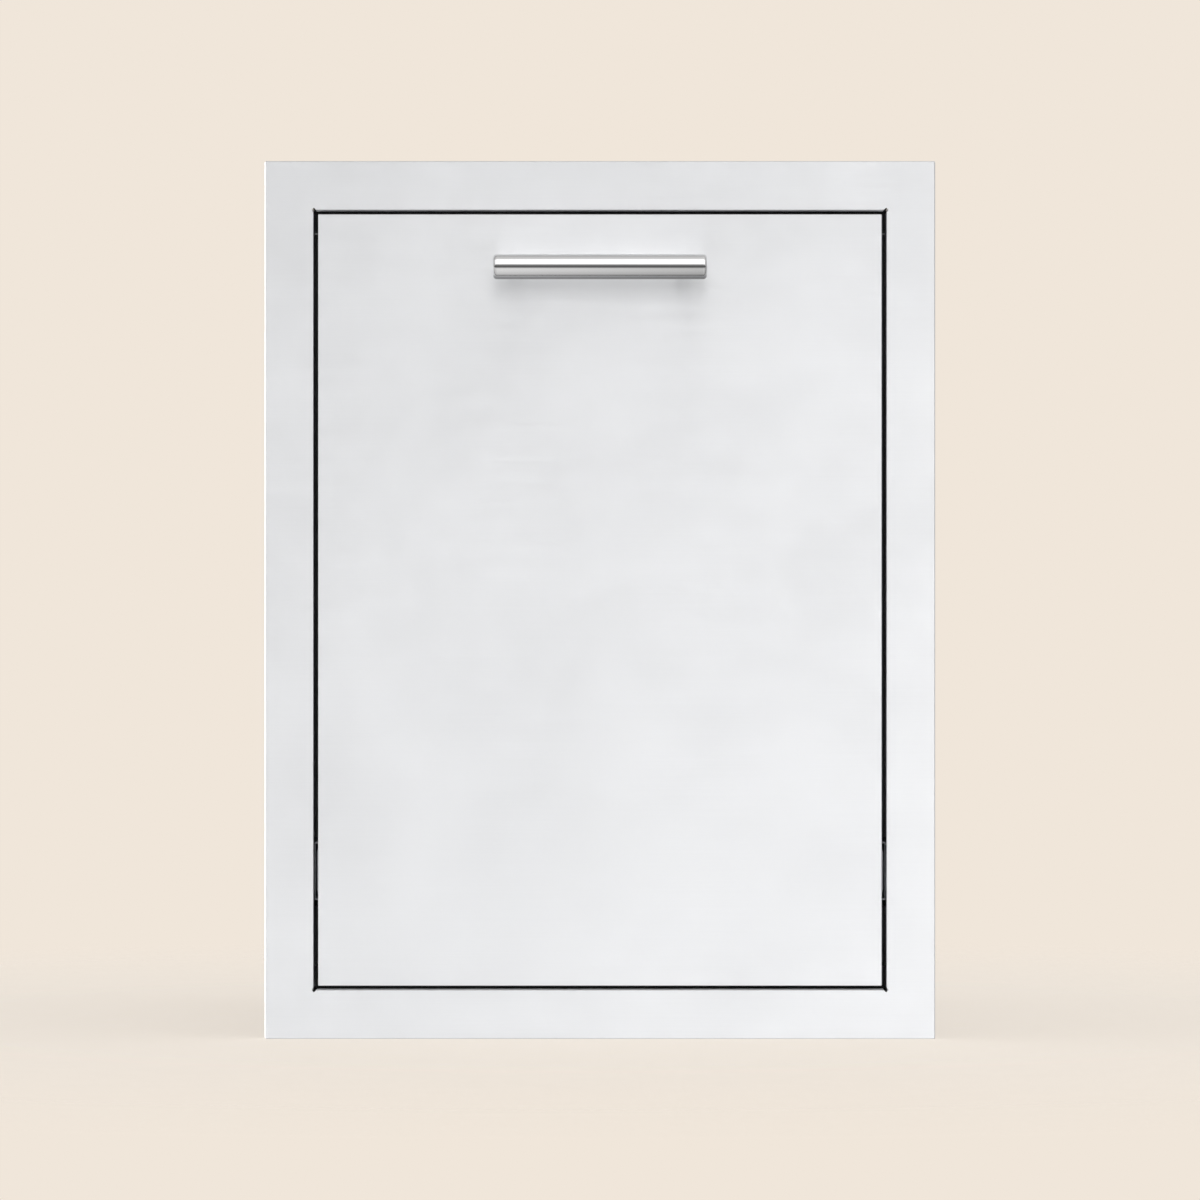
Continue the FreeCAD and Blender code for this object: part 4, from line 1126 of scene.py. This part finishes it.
def studio_world(settings):
    """Plain backdrop for the camera, and a soft studio for the light: bright above and below the front,
    with a dark strip at the camera's height, and brightest a little to the right of the middle."""
    world = bpy.data.worlds.new("studio")
    world.use_nodes = True
    tree = world.node_tree
    tree.nodes.clear()
    direction = add_node(tree, "ShaderNodeTexCoord").outputs["Generated"]
    parts = add_node(tree, "ShaderNodeSeparateXYZ", {"Vector": direction})
    ahead = times(tree, parts.outputs["Y"], -1.0)
    rise = calculate(tree, "ARCTAN2", parts.outputs["Z"], ahead)
    rise = remap(tree, rise, (-math.pi, math.pi), (0.0, 1.0))
    sky = ramp(tree, rise, [((angle + 180) / 360, value / SKY_SCALE) for angle, value in SKY_STOPS])
    aside = remap(tree, parts.outputs["X"], (-1.0, 1.0), (0.0, 1.0))
    flank = ramp(tree, aside, [((place + 1) / 2, value / SKY_SCALE) for place, value in SIDE_STOPS])
    light = times(tree, sky, flank)
    strength = times(tree, light, settings.sky * SKY_SCALE ** 2)
    studio = add_node(tree, "ShaderNodeBackground", {"Color": SKY_TINT, "Strength": strength})
    plain = add_node(tree, "ShaderNodeBackground", {"Color": (*settings.backdrop, 1.0), "Strength": 1.0})
    seen = add_node(tree, "ShaderNodeLightPath").outputs["Is Camera Ray"]
    mixed = add_node(tree, "ShaderNodeMixShader", {0: seen, 1: studio.outputs[0], 2: plain.outputs[0]})
    add_node(tree, "ShaderNodeOutputWorld", {"Surface": mixed.outputs[0]})
    bpy.context.scene.world = world


def studio_floor(settings):
    """Pale round floor that fades out towards its edge."""
    low, high = (Vector(corner) for corner in CAD_BOX)
    middle = (low + high) / 2
    loops = []
    for ring in range(1, FLOOR_RINGS + 1):
        radius = settings.floor_radius * ring / FLOOR_RINGS
        loops.append([(x, y, 0.0) for x, y in circle(radius, FLOOR_SIDES)])
    bm = bmesh.new()
    skin_loops(bm, loops, cap_first=True)
    mesh = finished_mesh(FLOOR, bm, UP)
    floor = linked_object(FLOOR, mesh)
    floor.location = (middle.x, middle.y, low.z)
    tree, place = new_material(FLOOR)
    flat = add_node(tree, "ShaderNodeVectorMath", {0: place}, operation="LENGTH").outputs["Value"]
    fade = remap(tree, flat, (settings.floor_fade, settings.floor_radius), (1.0, 0.0))
    grain = noise(tree, place, scale=30.0, detail=4.0)
    surface(tree, {
        "Base Color": tinted(tree, grain, settings.floor, FLOOR_TONES),
        "Roughness": 0.85,
        "Alpha": fade,
        "Emission Color": (*settings.backdrop, 1.0),
        "Emission Strength": settings.floor_glow,
    })
    mesh.materials.append(bpy.data.materials[FLOOR + FINISH])
    floor.visible_glossy = False


def pieces_together(name, pieces):
    """Collection that holds these pieces for the lights."""
    together = bpy.data.collections.new(name)
    for piece in pieces:
        together.objects.link(piece)
    return together


def studio_lights(settings):
    """Softboxes, each with its place, the point it looks at, its width and height, the pieces it lights and
    the pieces that shade it. One that names none lights what the others leave, and all pieces shade it."""
    shown = [obj for obj in bpy.context.scene.objects if obj.type == "MESH" and obj.name != FLOOR]
    for name, (place, target, size, lit, shading) in SOFTBOXES.items():
        data = bpy.data.lights.new(name, "AREA")
        data.shape = "RECTANGLE"
        data.size, data.size_y = size
        data.energy = getattr(settings, name)
        light = linked_object(name, data)
        light.location = place
        aim = Vector(target) - Vector(place)
        light.rotation_euler = aim.to_track_quat("-Z", "Y").to_euler()
        light.visible_camera = False
        receivers = [obj for obj in shown if (obj.name in lit if lit else obj.name not in FACE_AND_HANDLE)]
        blockers = [obj for obj in shown if not shading or obj.name in shading]
        light.light_linking.receiver_collection = pieces_together(name + "_lit", receivers)
        light.light_linking.blocker_collection = pieces_together(name + "_shading", blockers)


def studio_camera(settings):
    """Camera square on to the drawer front."""
    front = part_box("front_skin")[0].y
    data = bpy.data.cameras.new("camera")
    data.lens = settings.lens
    data.sensor_width = settings.sensor
    data.clip_end = CAMERA_REACH
    camera = linked_object("camera", data)
    camera.location = (0.0, front - settings.view_width * settings.lens / settings.sensor, 0.0)
    camera.rotation_euler = (math.pi / 2, 0.0, 0.0)
    bpy.context.scene.camera = camera


class DrawerStage(bpy.types.Operator):
    """Set up the backdrop, the light, the floor and the camera"""
    bl_idname = "drawer.stage"
    bl_label = "Stage"

    def execute(self, context):
        settings = context.scene.drawer_studio
        studio_world(settings)
        studio_floor(settings)
        studio_lights(settings)
        studio_camera(settings)
        context.scene.view_settings.view_transform = "Standard"
        return {"FINISHED"}


# The add-on

OPERATORS = (
    DrawerFinishes,
    DrawerFaceFrame,
    DrawerFront,
    DrawerHandle,
    DrawerBins,
    DrawerSlides,
    DrawerRivets,
    DrawerScrews,
    DrawerBalls,
    DrawerStage,
)


class DrawerPanel(bpy.types.Panel):
    """Sizes, colours and build steps of the drawer"""
    bl_idname = "VIEW3D_PT_drawer"
    bl_label = "Trash and recycling drawer"
    bl_space_type = "VIEW_3D"
    bl_region_type = "UI"
    bl_category = "Drawer"

    def draw(self, context):
        for operator in OPERATORS:
            self.layout.operator(operator.bl_idname)
        for name, group in PROPERTY_GROUPS.items():
            box = self.layout.box()
            settings = getattr(context.scene, name)
            for key in group.__annotations__:
                box.prop(settings, key)


CLASSES = (*PROPERTY_GROUPS.values(), *OPERATORS, DrawerPanel)


def register():
    for kind in CLASSES:
        bpy.utils.register_class(kind)
    for name, group in PROPERTY_GROUPS.items():
        setattr(bpy.types.Scene, name, bpy.props.PointerProperty(type=group))


def unregister():
    for name in PROPERTY_GROUPS:
        delattr(bpy.types.Scene, name)
    for kind in reversed(CLASSES):
        bpy.utils.unregister_class(kind)


def main():
    register()
    bpy.ops.drawer.finishes()
    bpy.ops.drawer.face_frame()
    bpy.ops.drawer.front()
    bpy.ops.drawer.handle()
    bpy.ops.drawer.bins()
    bpy.ops.drawer.slides()
    bpy.ops.drawer.rivets()
    bpy.ops.drawer.screws()
    bpy.ops.drawer.balls()
    bpy.ops.drawer.stage()


if __name__ == "__main__":
    main()
